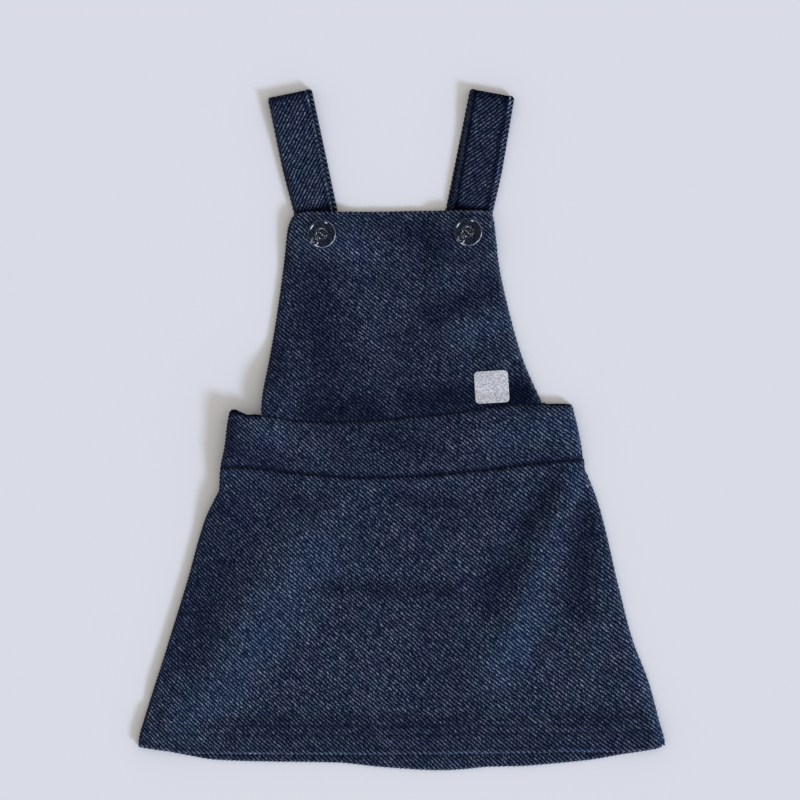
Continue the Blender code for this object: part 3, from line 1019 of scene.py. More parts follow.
@dataclass(frozen=True)
class Socket:
    """A number in a material, on which Python's operators add Math nodes."""

    graph: Graph
    source: bpy.types.NodeSocket

    def math(self, operation: str, *values: "Socket | float") -> "Socket":
        """Return the result of one Math node on these values."""
        inputs = dict(enumerate(values))
        return self.graph.add("ShaderNodeMath", {"operation": operation}, inputs)

    def __add__(self, other: "Socket | float") -> "Socket":
        """Return the sum."""
        return self.math("ADD", self, other)

    __radd__ = __add__

    def __mul__(self, other: "Socket | float") -> "Socket":
        """Return the product."""
        return self.math("MULTIPLY", self, other)

    __rmul__ = __mul__

    def __sub__(self, other: "Socket | float") -> "Socket":
        """Return the difference."""
        return self.math("SUBTRACT", self, other)

    def __rsub__(self, other: float) -> "Socket":
        """Return the difference from a number."""
        return self.math("SUBTRACT", other, self)

    def __truediv__(self, other: "Socket | float") -> "Socket":
        """Return the quotient."""
        return self.math("DIVIDE", self, other)

    def __pow__(self, other: "Socket | float") -> "Socket":
        """Return the power."""
        return self.math("POWER", self, other)

    def floor(self) -> "Socket":
        """Return the whole number below."""
        return self.math("FLOOR", self)

    def sine(self) -> "Socket":
        """Return the sine."""
        return self.math("SINE", self)

    def least(self, low: float) -> "Socket":
        """Return the value, or low where it is smaller."""
        return self.math("MAXIMUM", self, low)

    def most(self, high: float) -> "Socket":
        """Return the value, or high where it is larger."""
        return self.math("MINIMUM", self, high)

    def within(self) -> "Socket":
        """Return the value kept within 0 and 1."""
        return self.least(0.0).most(1.0)

    def spread(self, gain: float) -> "Socket":
        """Return the value stretched about 0.5, kept within 0 and 1."""
        return ((self - 0.5) * gain + 0.5).within()


@dataclass(frozen=True)
class TwillFinish:
    """Dark indigo twill: pale dashes along diagonal rows over a near-black ground."""

    ground: Colour = (0.010, 0.042, 0.118)          # both as a screen shows them, not linear
    dash: Colour = (0.552, 0.575, 0.628)
    screen: float = 2.2                 # exponent from such a colour to a linear one
    teal: Colour = (0.93, 1.065, 1.005)
    violet: Colour = (1.05, 0.99, 1.015)
    dash_length: float = 3.0            # along a row, in millimetres
    yarn: float = 0.85                  # length of the finest flecks, in millimetres
    relief: float = 0.00030             # height of the rows, in metres
    wander: tuple[tuple[float, float, float], ...] = (  # scale, detail and width of the rows' waves
        (90.0, 2.0, 0.8), (380.0, 1.0, 0.42))
    streaks: Mottle = Mottle(1.0, 1.0, 3.0, 0.72, 0.28)
    flecks: Mottle = Mottle(1.0, 0.0, 3.6, 0.8, 0.2)
    grain: Mottle = Mottle(1150.0, 0.0, 4.6, 1.3, 0.35)
    patches: Mottle = Mottle(34.0, 1.0, 1.4, 0.30, 0.80)
    spots: Mottle = Mottle(150.0, 1.0, 2.6, 0.30, 0.82)
    tints: Mottle = Mottle(55.0, 2.0, 2.5)
    thinness: float = 3.4               # exponent that narrows the pale rows
    paleness: float = 0.54              # of the dashes
    bare: float = 0.0024                # paleness between the rows
    lit_and_worn_bare: float = 0.007            # added to it where the cloth is painted paler or darker, with light, shade and wear
    lit_and_worn_loss: float = 1.2              # weakening of the dashes where its painted light and wear are at half strength
    dark_loss: float = 1.5              # the same where it is painted darker with shade
    lit_and_worn_gain: float = 1.9              # brightening of the whole colour by painted light and wear
    dark_gain: float = 0.8              # darkening of it by painted shade

    def rows(self, graph: Graph, place: Socket, number: Socket) -> Socket:
        """Let the rows wander.

        Args:
            graph: The material's nodes.
            place: The place on the object.
            number: The row's number, with its fraction.

        Returns:
            The number with uneven waves added.
        """
        for scale, detail, width in self.wander:
            number = number + (graph.noise(place, scale, detail) - 0.5) * width
        return number

    def shaded_and_aged(self, level: Socket, grain: Socket, lit_and_worn: Socket) -> Socket:
        """Weaken the dashes, and let the ground between them show, where the cloth is painted paler with
        light and wear, and where it is painted darker with shade.

        Args:
            level: The dashes' paleness.
            grain: The cloth's fine grain.
            lit_and_worn: The painted light and shade with the wear.

        Returns:
            The paleness with the painted light, shade and wear.
        """
        hollow, ridge = lit_and_worn.most(0.0), lit_and_worn.least(0.0)
        kept = 1.0 + hollow * self.dark_loss - ridge * (1.0 - ridge) * self.lit_and_worn_loss
        return level * kept.least(0.1) + grain * (self.bare + (ridge - hollow).most(0.3) * self.lit_and_worn_bare)

    def material(self, name: str) -> bpy.types.Material:
        """Make the material.

        Args:
            name: Its name.

        Returns:
            The material, which reads the cloth's weave map and its painted light and wear.
        """
        graph = Graph(name)
        place = graph.place()
        lit_and_worn = graph.add("ShaderNodeAttribute", {"attribute_name": LIGHT_AND_WEAR}, output="Fac")
        along, rows = graph.weave()
        rows = self.rows(graph, place, rows)
        number = rows.floor()
        ridge = ((rows - number) * math.pi).sine()
        streaks = graph.mottle(graph.vector(along / self.dash_length, number * 7.31), self.streaks)
        flecks = graph.mottle(graph.vector(along / self.yarn, number * 3.17, 5.0), self.flecks)
        tone = streaks * flecks
        grain = graph.mottle(place, self.grain)
        patches = graph.mottle(place, self.patches) * graph.mottle(place, self.spots)
        level = ridge**self.thinness * (tone * 1.2 + 0.05) * grain * patches * self.paleness
        level = self.shaded_and_aged(level, grain, lit_and_worn)
        shown = graph.mix(level.most(1.0) ** (1.0 / self.screen), self.ground, self.dash)
        colour = graph.add("ShaderNodeGamma", inputs={0: shown, 1: self.screen})
        # painted light and wear turn the hue towards teal
        tint = graph.mottle(place, self.tints) - lit_and_worn * 1.2
        colour = graph.mix(1.0, colour, graph.mix(tint, self.teal, self.violet), "MULTIPLY")
        # painted light and wear brighten the colour, painted shade darkens it
        gain = 1.0 + lit_and_worn.most(0.0) * self.dark_gain + lit_and_worn.least(0.0) * self.lit_and_worn_gain
        colour = graph.scaled(colour, gain.least(0.2))
        return graph.finish(
            Base_Color=colour, Roughness=0.95, Specular_IOR_Level=0.02, Sheen_Weight=0.01,
            Sheen_Roughness=0.45, Sheen_Tint=(0.75, 0.82, 1.0),
            Normal=graph.bump(ridge * (tone * 0.4 + 0.6), self.relief))


@dataclass(frozen=True)
class ThreadFinish:
    """Spun sewing thread with a soft shine and a fine twist."""

    dark: Colour
    light: Colour
    roughness: float = 0.85
    tones: Mottle = Mottle(520.0, 2.0, 2.4)
    twist: float = 3200.0               # turns of the yarn a metre
    relief: float = 0.00006             # height of the twist, in metres

    def material(self, name: str) -> bpy.types.Material:
        """Make the material.

        Args:
            name: Its name.

        Returns:
            The material.
        """
        graph = Graph(name)
        place = graph.place()
        return graph.finish(
            Base_Color=graph.mix(graph.mottle(place, self.tones), self.dark, self.light),
            Roughness=self.roughness, Specular_IOR_Level=0.25,
            Normal=graph.bump(graph.noise(place, self.twist, 0.0), self.relief))


class Glint(NamedTuple):
    """A painted highlight where clear resin gathers light, in millimetres and degrees from a button's
    centre.
    """

    radius: float
    angle: float
    width: float                        # across the rim
    span: float                         # along it
    strength: float


@dataclass(frozen=True)
class ResinFinish:
    """Clear, smoky polished resin, with painted highlights at its rim and beside its holes."""

    smoke: Colour = (0.003, 0.007, 0.020)
    # colour of the painted highlights and sparkles
    pale: Colour = (0.60, 0.66, 0.74)
    rim: float = 8.75                   # radius of the faint painted highlight along the rim
    rim_width: float = 0.22
    rim_light: float = 0.26
    sparkle_scale: float = 0.55            # of the painted sparkles of refracted light in the resin, a millimetre
    sparkle_thinness: float = 26.0
    film: float = 0.3                   # how much the clear resin hides of the cloth below
    sparkle_patches: tuple[tuple[float, float, float], ...] = (   # x, y and reach of the patches of painted sparkles
        (-4.6, -5.2, 3.4), (-0.4, 0.2, 4.6))
    glints: tuple[Glint, ...] = (
        Glint(8.55, -42.0, 0.24, 8.5, 0.55), Glint(7.85, 146.0, 0.42, 2.2, 1.5),
        Glint(7.6, 70.0, 0.42, 1.2, 1.4), Glint(8.4, -112.0, 0.34, 2.2, 1.0),
        Glint(8.6, 45.0, 0.26, 5.0, 0.3), Glint(8.55, -12.0, 0.26, 1.8, 0.6),
        Glint(7.0, -153.0, 0.36, 0.8, 0.6), Glint(3.4, 97.0, 0.34, 1.0, 0.9),
        Glint(3.5, 174.0, 0.34, 1.0, 0.9), Glint(3.1, -12.0, 0.30, 1.0, 0.8),
        Glint(3.1, -117.0, 0.30, 1.0, 0.8),
    )

    def material(self, name: str) -> bpy.types.Material:
        """Make the material.

        Args:
            name: Its name.

        Returns:
            The material, which reads each button's own map in millimetres from its centre.
        """
        graph = Graph(name)
        x, y = graph.weave()
        radius = (x * x + y * y) ** 0.5
        edge = (radius - self.rim) / self.rim_width
        lit = (1.0 - edge * edge).least(0.0) * self.rim_light
        for glint in self.glints:
            angle = math.radians(glint.angle)
            outwards = x * math.cos(angle) + y * math.sin(angle)
            sideways = y * math.cos(angle) - x * math.sin(angle)
            across = (radius - glint.radius) / glint.width
            spot = 1.0 - across * across - sideways * sideways * (1.0 / glint.span**2)
            lit = lit + spot.least(0.0) * outwards.within() * glint.strength
        # painted sparkles of refracted light: thin curled lines, in two patches
        fine = graph.vector(x * self.sparkle_scale, y * self.sparkle_scale, 2.0)
        sparkles = (graph.noise(fine, 1.0, 1.0) - 0.5) * self.sparkle_thinness
        sparkles = (1.0 - sparkles * sparkles).least(0.0) * graph.noise(graph.vector(x, y), 0.8, 0.0).spread(5.0)
        for near_x, near_y, reach in self.sparkle_patches:
            away_x, away_y = x - near_x, y - near_y
            near = 1.0 - (away_x * away_x + away_y * away_y) * (1.0 / reach**2)
            lit = lit + sparkles * near.least(0.0).most(0.5) * 2.0
        lit = lit.most(1.0)
        return graph.finish(
            Base_Color=graph.mix(lit, self.smoke, self.pale),
            Alpha=(lit + self.film).most(1.0), Roughness=0.3, Specular_IOR_Level=0.05,
            Coat_Weight=1.0, Coat_IOR=1.33, Coat_Roughness=0.16)


@dataclass(frozen=True)
class LabelFinish:
    """Light grey tape, closely woven and slightly speckled."""

    pale: Colour = (0.80, 0.80, 0.80)
    shade: Colour = (0.30, 0.31, 0.34)
    specks: Mottle = Mottle(1100.0, 1.0, 4.5)
    clouds: Mottle = Mottle(180.0, 2.0, 1.6)
    yarn: float = 0.7                   # width of one yarn and its gap, in millimetres
    relief: float = 0.00012             # height of the weave, in metres

    def material(self, name: str) -> bpy.types.Material:
        """Make the material.

        Args:
            name: Its name.

        Returns:
            The material.
        """
        graph = Graph(name)
        place = graph.place()
        specks, clouds = graph.mottle(place, self.specks), graph.mottle(place, self.clouds)
        across, up = graph.weave()
        turns = math.tau / self.yarn
        grain = (across * turns).sine() * (up * turns).sine()
        tone = (specks * 0.75 + clouds * 0.25 + grain * 0.12 - 0.05).within()
        return graph.finish(
            Base_Color=graph.mix(tone, self.pale, self.shade), Roughness=0.85,
            Specular_IOR_Level=0.2, Normal=graph.bump(grain * 0.5 + specks * 0.5, self.relief))


@dataclass(frozen=True)
class FloorFinish:
    """A plain pale matt floor."""

    colour: Colour = (0.80, 0.80, 0.80)

    def material(self, name: str) -> bpy.types.Material:
        """Return the material."""
        return Graph(name).finish(Base_Color=self.colour, Roughness=0.9, Specular_IOR_Level=0.0)


class Slot(Enum):
    """The record's material slots."""

    TWILL = "indigo_twill"
    PLASTIC = "clear_plastic"
    LABEL = "grey_label"


@dataclass(frozen=True)
class Wardrobe:
    """The dress's finishes, made once and shared by its pieces."""

    twill: bpy.types.Material
    rib: bpy.types.Material
    thread: bpy.types.Material
    resin: bpy.types.Material
    label: bpy.types.Material

    @classmethod
    def made(cls) -> "Wardrobe":
        """Make the finishes.

        Returns:
            The finishes as materials.
        """
        # the pale rows are painted light on lit edges' ribs and the left strap's stitches; the dark thread
        # is also painted shade on left edges' ribs
        rib = ThreadFinish((0.004, 0.008, 0.022), (0.140, 0.165, 0.215))
        thread = ThreadFinish((0.002, 0.005, 0.015), (0.020, 0.030, 0.060))
        return cls(
            TwillFinish().material("indigo_twill"), rib.material("indigo_rows"),
            thread.material("navy_thread"), ResinFinish().material("clear_resin"),
            LabelFinish().material("grey_tape"))


def dress(piece: Object, material: bpy.types.Material, slot: Slot, *nodes: str) -> Object:
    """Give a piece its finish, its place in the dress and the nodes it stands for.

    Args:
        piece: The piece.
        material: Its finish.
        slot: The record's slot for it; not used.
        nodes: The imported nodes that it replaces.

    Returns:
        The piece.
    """
    piece.data.materials.clear()
    piece.data.materials.append(material)
    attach(piece, BODY)
    if nodes:
        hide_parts(*nodes)
    return piece


def outline_area(surface: Surface) -> float:
    """Measure a piece of cloth.

    Args:
        surface: The cloth.

    Returns:
        The area inside its four edges as it lies, in square metres.
    """
    share = np.linspace(0.0, 1.0, 200)
    start, end = np.zeros_like(share), np.ones_like(share)
    across = np.concatenate([share, end, share[::-1], start]) * surface.width
    up = np.concatenate([start, share, end, share[::-1]]) * surface.length
    x, y = surface.points(across, up, Face.UPPER)[:, :2].T
    return abs(float(np.sum(x * np.roll(y, -1) - y * np.roll(x, -1)))) / 2.0 * MM * MM


# ---- sub-assemblies ---------------------------------------------------------------


@dataclass(frozen=True)
class Skirt:
    """The A-line skirt: a back panel on the floor and a front panel on it."""

    width: float = 300.0                # flat width, between the waist and the hem
    front_length: float = 180.0
    back_length: float = 186.0
    margin: float = 26.0
    step: float = 1.6
    back_step: float = 2.6
    needles: tuple[float, float] = (12.5, 18.3)         # twin stitches above the hem
    fullness: float = 1.3               # height of the soft folds, against their table
    groove: float = 0.55                # depth of a stitched groove
    groove_width: float = 1.1
    bare: float = 2.0                   # bare length at each end of the stitches
    seam_shade: Line = Line(0.0, 1.8, -0.45)             # painted shade below the waist seam
    hem_edge_highlight: Line = Line(0.6, 0.7, 0.8)             # painted highlight along the hem's rolled edge
    hem_lines: tuple[Line, ...] = (     # painted shade above the hem: beside its edge, then in the needles' grooves
        Line(2.6, 1.2, -0.2), Line(12.5, 0.9, -0.15), Line(18.3, 0.9, -0.15))
    shaded_line: Line = Line(0.4, 1.6, -0.3)            # painted shadow on the back, below the front's hem
    lay: TwillLay = TwillLay(-44.0, -36.5, 150.0, 2.1)
    back_lay: TwillLay = TwillLay(-46.0, -42.0, 150.0, 2.1)
    ripple: Ripple = Ripple(11, 0.10, 9.0, 34.0)
    # unevenness of the painted highlight along the hem's edge
    highlight_unevenness: Ripple = Ripple(41, 0.5625, 5.0, 60.0)
    stitching: Stitching = Stitching(proud=0.0)
    ribs: EdgeRibs = EdgeRibs()

    def grooves(self, above_hem: Array) -> Array:
        """Return how deep the needles draw the cloth in."""
        return self.groove * sum(bell(above_hem - needle, self.groove_width) for needle in self.needles)

    def hem_wall(self, above_hem: Array) -> Array:
        """Return a panel's wall: two layers in its hem, one above it."""
        return lerp(LAYERS.doubled, LAYERS.single, ease((above_hem - LAYERS.hem_depth) / LAYERS.hem_fade))

    def below_seam(self, x: Array, y: Array) -> Array:
        """Return how far from the waist seam places are: 0 at it, 1 past its allowance."""
        return ease((waist_seam(x) - y) / LAYERS.seam_fade)

    def front_wall(self, x: Array, y: Array) -> Array:
        """Work out the front's wall, thicker in the hem and below the waist seam.

        Args:
            x: Places across the dress.
            y: Places up the dress.

        Returns:
            The wall.
        """
        above_hem = y - front_hem(x)
        seam = lerp(LAYERS.seam, LAYERS.single, self.below_seam(x, y))
        return np.maximum(self.hem_wall(above_hem), seam) - self.grooves(above_hem)

    def front_top(self, x: Array, y: Array) -> Array:
        """Work out the height of the front's upper face, away from its rounded edges.

        Args:
            x: Places across the dress.
            y: Places up the dress.

        Returns:
            The height.
        """
        left, right = left_edge(SKIRT_SIDES)(y), right_edge(SKIRT_SIDES)(y)
        from_side = np.minimum(x - left, right - x)
        above_hem = y - front_hem(x)
        hem_rest = 1.0 - ease((above_hem - LAYERS.hem_depth - LAYERS.hem_fade) / LAYERS.hem_fade)
        free = 1.0 - np.maximum(hem_rest, 1.0 - self.below_seam(x, y))
        inside = ease(from_side / LAYERS.side_fall)
        drop = (LAYERS.front_rise - LAYERS.side_rise) * (1.0 - inside)
        folds = (self.fullness * fold_rise(SKIRT_FOLDS, x, y) + self.ripple(x, y)) * inside
        return LAYERS.front_rise + free * (folds - drop) + self.front_wall(x, y)

    def front_middle(self, x: Array, y: Array) -> Array:
        """Return the height of the middle of the front's wall."""
        drawn = SEAM_DIP.at(waist_seam(x) - y)
        return self.front_top(x, y) - self.front_wall(x, y) / 2.0 - drawn

    def back_wall(self, x: Array, y: Array) -> Array:
        """Return the back's wall."""
        return self.hem_wall(y - back_hem(x))

    def back_middle(self, x: Array, y: Array) -> Array:
        """Return the height of the middle of the back's wall."""
        return self.back_wall(x, y) / 2.0

    def lit_and_worn(self, x: Array, y: Array) -> Array:
        """Work out the front's painted light and shade with its wear: painted shade at its seam and stitched
        lines, a painted highlight along its hem's edge.

        Args:
            x: Places across the dress.
            y: Places up the dress.

        Returns:
            How much paler each place is.
        """
        above_hem = y - front_hem(x)
        lines = self.seam_shade.at(waist_seam(x) - y) + sum(line.at(above_hem) for line in self.hem_lines)
        hem_highlight = self.hem_edge_highlight.at(above_hem) * (1.0 + self.highlight_unevenness(x, y))
        return fold_rise(SKIRT_LIGHT_AND_WEAR, x, y) + painted_side_light(SKIRT_SIDES, x, y) + lines + hem_highlight

    def back_shadow(self, x: Array, y: Array) -> Array:
        """Return the back's painted shadow, dark where the front's hem shades it."""
        return self.shaded_line.at(front_hem(x) - y)

    def front(self) -> Panel:
        """Plan the front panel.

        Returns:
            The panel.
        """
        plan = Plan(below_waist, front_hem, SKIRT_SIDES, self.width, self.front_length, self.margin)
        return Panel(plan, self.lay, self.front_middle, self.front_wall,
                     side_roll=3.6, bottom_roll=1.7, top_roll=2.1, lit_and_worn=self.lit_and_worn)

    def back(self) -> Panel:
        """Plan the back panel.

        Returns:
            The panel.
        """
        plan = Plan(below_waist, back_hem, SKIRT_SIDES, self.width, self.back_length, self.margin)
        return Panel(plan, self.back_lay, self.back_middle, self.back_wall, bottom_roll=1.5,
                     lit_and_worn=self.back_shadow)

    def build(self, wardrobe: Wardrobe) -> None:
        """Build and dress both panels, their stitches and their edges.

        Args:
            wardrobe: The finishes.
        """
        front, back = self.front(), self.back()
        front_cloth = front.build("skirt_front", self.step, wardrobe, self.needles)
        back_cloth = back.build("skirt_back", self.back_step, wardrobe)
        rows = [self.stitching.paths(front, (self.bare, needle), (self.width - self.bare, needle))
                for needle in self.needles]
        hem = tubes("skirt_hem_stitches", np.concatenate(rows), self.stitching.radii())
        dress(hem, wardrobe.thread, Slot.TWILL)
        edges = (Edge.LEFT, Edge.RIGHT, Edge.BOTTOM)
        front_ribs = self.ribs.build("skirt_front", front, edges, wardrobe)
        back_ribs = self.ribs.build("skirt_back", back, edges, wardrobe)
        outline_area(front)
        outline_area(back)


class Seam(NamedTuple):
    """The thread inside a seam: the line that it follows, its two ends and its height."""

    edge: SmoothCurve
    left: float
    right: float
    height: float

    def path(self, count: int) -> Array:
        """Route the thread.

        Args:
            count: How many points it gets.

        Returns:
            Its points.
        """
        x = np.linspace(self.left, self.right, count)
        y = self.edge(x)
        return np.stack([x, y, self.height + fold_rise(LIFTS, x, y)], axis=1)


@dataclass(frozen=True)
class Waistband:
    """The doubled waistband: a back half on the floor and a front half on it."""

    width: float = 226.0
    length: float = 36.0
    margin: float = 12.0
    step: float = 1.4
    back_step: float = 2.4
    lay: TwillLay = TwillLay(-43.0, -35.0, 112.0, 2.02)
    ripple: Ripple = Ripple(23, 0.06, 8.0, 26.0)
    ribs: EdgeRibs = EdgeRibs()
    waist_shade: Line = Line(0.0, 1.6, -0.4)             # painted shade above the waist seam
    top_seam_shade: Line = Line(0.0, 1.3, -0.3)               # painted shade below the bib's seam
    shade: float = -0.08                # darkening of the whole band
    seams: tuple[Seam, ...] = (
        Seam(waist_seam, -116.0, 115.8, LAYERS.front_rise + 0.3),
        Seam(band_top, -88.5, 92.0, LAYERS.front_rise + 0.2),
        Seam(waist_seam, -116.0, 115.8, LAYERS.doubled / 2.0),
    )
    seam_thread: float = 0.42           # radius of the thread that closes a seam's slit
    seam_points: int = 120

    def front_middle(self, x: Array, y: Array) -> Array:
        """Work out the height of the middle of the front's wall, puffed between its seams.

        Args:
            x: Places across the dress.
            y: Places up the dress.

        Returns:
            The height.
        """
        top = band_top(x)
        share = np.clip((top - y) / (top - waist_seam(x)), 0.0, 1.0)
        puff = (LAYERS.waist_puff + self.ripple(x, y)) * np.sin(math.pi * share)
        drawn = SEAM_DIP.at(y - waist_seam(x)) + SEAM_DIP.at(top - y)
        return LAYERS.front_rise + LAYERS.doubled / 2.0 + puff - drawn

    def lit_and_worn(self, x: Array, y: Array) -> Array:
        """Return the front half's painted light and shade with its wear, with painted shade along its seams.
        """
        lines = self.waist_shade.at(y - waist_seam(x)) + self.top_seam_shade.at(band_top(x) - y)
        return fold_rise(BAND_LIGHT_AND_WEAR, x, y) + painted_side_light(BAND_SIDES, x, y) + lines + self.shade

    def front(self) -> Panel:
        """Plan the front half.

        Returns:
            The half as a panel.
        """
        plan = Plan(band_top.moved(-LAYERS.gap / 2.0), above_waist, BAND_SIDES, self.width,
                    self.length, self.margin)
        return Panel(plan, self.lay, self.front_middle, even(LAYERS.doubled),
                     side_roll=3.2, bottom_roll=2.2, top_roll=1.8, lit_and_worn=self.lit_and_worn)

    def back(self) -> Panel:
        """Return the back half."""
        plan = Plan(back_band_top, above_waist, BAND_SIDES, self.width, self.length, self.margin)
        return Panel(plan, self.lay, even(LAYERS.doubled / 2.0), even(LAYERS.doubled))

    def build(self, wardrobe: Wardrobe) -> None:
        """Build and dress both halves, the seams' threads and the edges.

        Args:
            wardrobe: The finishes.
        """
        front, back = self.front(), self.back()
        front_cloth = front.build("waistband_front", self.step, wardrobe)
        back_cloth = back.build("waistband_back", self.back_step, wardrobe)
        paths = np.stack([seam.path(self.seam_points) for seam in self.seams])
        threads = tubes("waist_seam_threads", paths, np.full(self.seam_points, self.seam_thread))
        dress(threads, wardrobe.thread, Slot.TWILL)
        ribs = self.ribs.build("waistband", front, (Edge.LEFT, Edge.RIGHT), wardrobe)
        outline_area(front)
        outline_area(back)


NUDGE = 0.05                            # half the step over which a strap's way is measured


class StrapSide(Enum):
    """The two shoulder straps, seen from above."""

    LEFT = "left"
    RIGHT = "right"


@dataclass(frozen=True)
class Strap:
    """A doubled ribbon that folds at the shoulder.

    A lean is the angle from straight down the dress, in degrees, and turns the lower end
    to the right.  Flat distances run up from the front run's end, over the fold and down
    to the back waistband.
    """

    side: StrapSide
    fold_x: float
    fold_y: float
    front_lean: float
    back_lean: float
    row_angle: float                    # of the twill's rows on the front run, from +X
    stitch_line: float                  # topstitching, from the right edge
    lit_bead: Line                          # painted highlight on the topstitched ridge, partly wear, from the right edge
    lines: tuple[Line, ...]             # painted shade in its grooves, crease and along its edges, from the right edge
    shade: float                        # darkening of the whole strap
    width: float = 28.6
    front_end: float = 109.0            # height up the dress of the front run's end
    loop: float = 5.6                   # height of the fold at the shoulder
    settle: float = 45.0                # way over which the front run comes down
    roll: float = 1.3
    corner: float = 2.2                 # rounding of the shoulder fold's two corners
    drawn_in: float = 1.9               # how far the outer edge moves in towards the bib
    drawn_from: float = 42.0            # way down from the fold where that begins
    drawn_over: float = 45.0            # way over which it grows
    step: float = 1.3
    pitch: float = 2.05
    wrap: float = 1.2                   # cloth taken up by the rounded left edge
    groove: Line = Line(0.0, 0.7, 0.34)                 # depth of the topstitching's groove
    crease: Line = Line(3.6, 0.8, 0.2)                  # soft crease, from the left edge
    support_reach: float = 14.6         # half width of the bib's flat strip over a strap
    support_fall: float = 17.0          # width over which the bib sags beside that strip
    support_past_end: float = 4.5       # how far that strip runs on past the front run's end
    hidden: float = 30.0                # length of the front run that the bib covers
    hidden_shade: float = 0.75          # how much darker it is there
    hidden_fade: float = 7.5
    fold_line: Line = Line(3.0, 6.0, -0.35)             # shade along the shoulder fold
    ribs: EdgeRibs = EdgeRibs(radius=0.62, reach=2.4)
    stitching: Stitching = Stitching(covered=0.5, radius=0.3)
    unevenness: Ripple = Ripple(53, 0.55, 3.0, 26.0)

    @property
    def radius(self) -> float:
        """Return the radius of the shoulder fold's middle line."""
        return (self.loop - LAYERS.strap) / 2.0

    @property
    def inset(self) -> float:
        """Return how far below the fold's end the two runs begin."""
        return self.radius + LAYERS.strap / 2.0

    @property
    def front_run(self) -> float:
        """Return the length of the front run, up to the fold."""
        return (self.fold_y - self.front_end) / math.cos(math.radians(self.front_lean)) - self.inset

    @property
    def back_run(self) -> float:
        """Work out the length of the back run, from the fold to the back waistband.

        Returns:
            The length.
        """
        angle = math.radians(self.back_lean)
        length = 0.0
        for _ in range(8):
            x = self.fold_x + math.sin(angle) * length
            y = self.fold_y - math.cos(angle) * length
            length += (y - float(back_band_top(np.array([x]))[0]) - LAYERS.gap) / math.cos(angle)
        half = self.width / 2.0 * abs(math.sin(angle))
        return length - half - self.inset

    @property
    def length(self) -> float:
        """Return the whole flat length."""
        return self.front_run + math.pi * self.radius + self.back_run

    def line(self, up: Array) -> tuple[Array, Array, Array]:
        """Follow the middle of the ribbon's wall.

        Args:
            up: Flat distances from the front run's end.

        Returns:
            The way down from the fold, the height and the lean there.
        """
        past = up - self.front_run
        turn = np.clip(past / (math.pi * self.radius), 0.0, 1.0)
        angle = math.pi * (1.0 - turn)
        middle = LAYERS.strap / 2.0
        rest = LAYERS.strap * 1.5 + LAYERS.gap
        down = np.where(past < 0.0, self.inset - past, self.inset - self.radius * np.sin(angle))
        over = past - math.pi * self.radius
        down = np.where(over > 0.0, self.inset + over, down)
        high = middle + 2.0 * self.radius
        front = lerp(high, rest, ease((down - self.inset) / self.settle))
        height = np.where(past < 0.0, front, middle + self.radius * (1.0 - np.cos(angle)))
        return down, height, lerp(self.back_lean, self.front_lean, angle / math.pi)

    def points(self, across: Array, up: Array, face: Face) -> Array:
        """Find the points of a face; the upper face is the ribbon's outside.

        Args:
            across: Flat distances from the left edge.
            up: Flat distances from the front run's end.
            face: Which face.

        Returns:
            The points, in millimetres.
        """
        down, height, lean = self.line(up)
        ahead, behind = self.line(up + NUDGE), self.line(up - NUDGE)
        way = np.stack([ahead[0] - behind[0], ahead[1] - behind[1]])
        way = way / np.linalg.norm(way, axis=0)
        angle = np.radians(lean)
        right = self.width - across
        wall = LAYERS.strap - self.groove.at(right - self.stitch_line) - self.crease.at(across)
        share = wall_share(self, across, up, self.roll, self.roll, self.roll)
        half = wall / 2.0 * share * face.value
        down = down + way[1] * half
        narrowing = self.corner * (1.0 - rounded(down, self.corner)) * 2.0 / self.width
        outer = across / self.width - (self.side is StrapSide.LEFT)
        drawn = self.drawn_in * ease((down - self.drawn_from) / self.drawn_over)
        offset = (across - self.width / 2.0) * (1.0 - narrowing) - outer * drawn
        x = self.fold_x + np.cos(angle) * offset + np.sin(angle) * down
        y = self.fold_y + np.sin(angle) * offset - np.cos(angle) * down
        return np.stack([x, y, height - way[0] * half], axis=1)

    def weave(self, across: Array, up: Array) -> Array:
        """Number the twill's rows.

        Args:
            across: Flat distances from the left edge.
            up: Flat distances from the front run's end.

        Returns:
            The way along a row and the row's number, side by side.
        """
        angle = math.radians(self.row_angle - self.front_lean)
        line = self.width - self.stitch_line
        turned = np.clip(across - line, 0.0, None)
        across = across - 2.0 * turned * (self.side is StrapSide.LEFT)
        across = across - self.wrap * (1.0 - rounded(across, 2.0 * self.roll))
        along = across * math.cos(angle) + up * math.sin(angle)
        rows = (up * math.cos(angle) - across * math.sin(angle)) / self.pitch
        return np.stack([along, rows], axis=1)

    def light_and_wear(self, across: Array, up: Array) -> Array:
        """Work out where the ribbon is painted paler or darker: a painted highlight on its ridge, painted
        shade in its grooves, along its edges and fold and under the bib, with its wear.

        Args:
            across: Flat distances from the left edge.
            up: Flat distances from the front run's end.

        Returns:
            How much paler each place is.
        """
        right = self.width - across
        lit_bead = self.lit_bead.at(right) * (1.0 + self.unevenness(across, up))
        lines = sum(line.at(right) for line in self.lines) + self.fold_line.at(up - self.front_run)
        covered = self.hidden_shade * (1.0 - ease((up - self.hidden) / self.hidden_fade))
        return lit_bead + lines - covered + self.shade

    def from_run(self, lean: float, x: Array, y: Array) -> Array:
        """Return the distance of places from a run's middle line."""
        angle = math.radians(lean)
        return np.abs(math.cos(angle) * (x - self.fold_x) + math.sin(angle) * (y - self.fold_y))

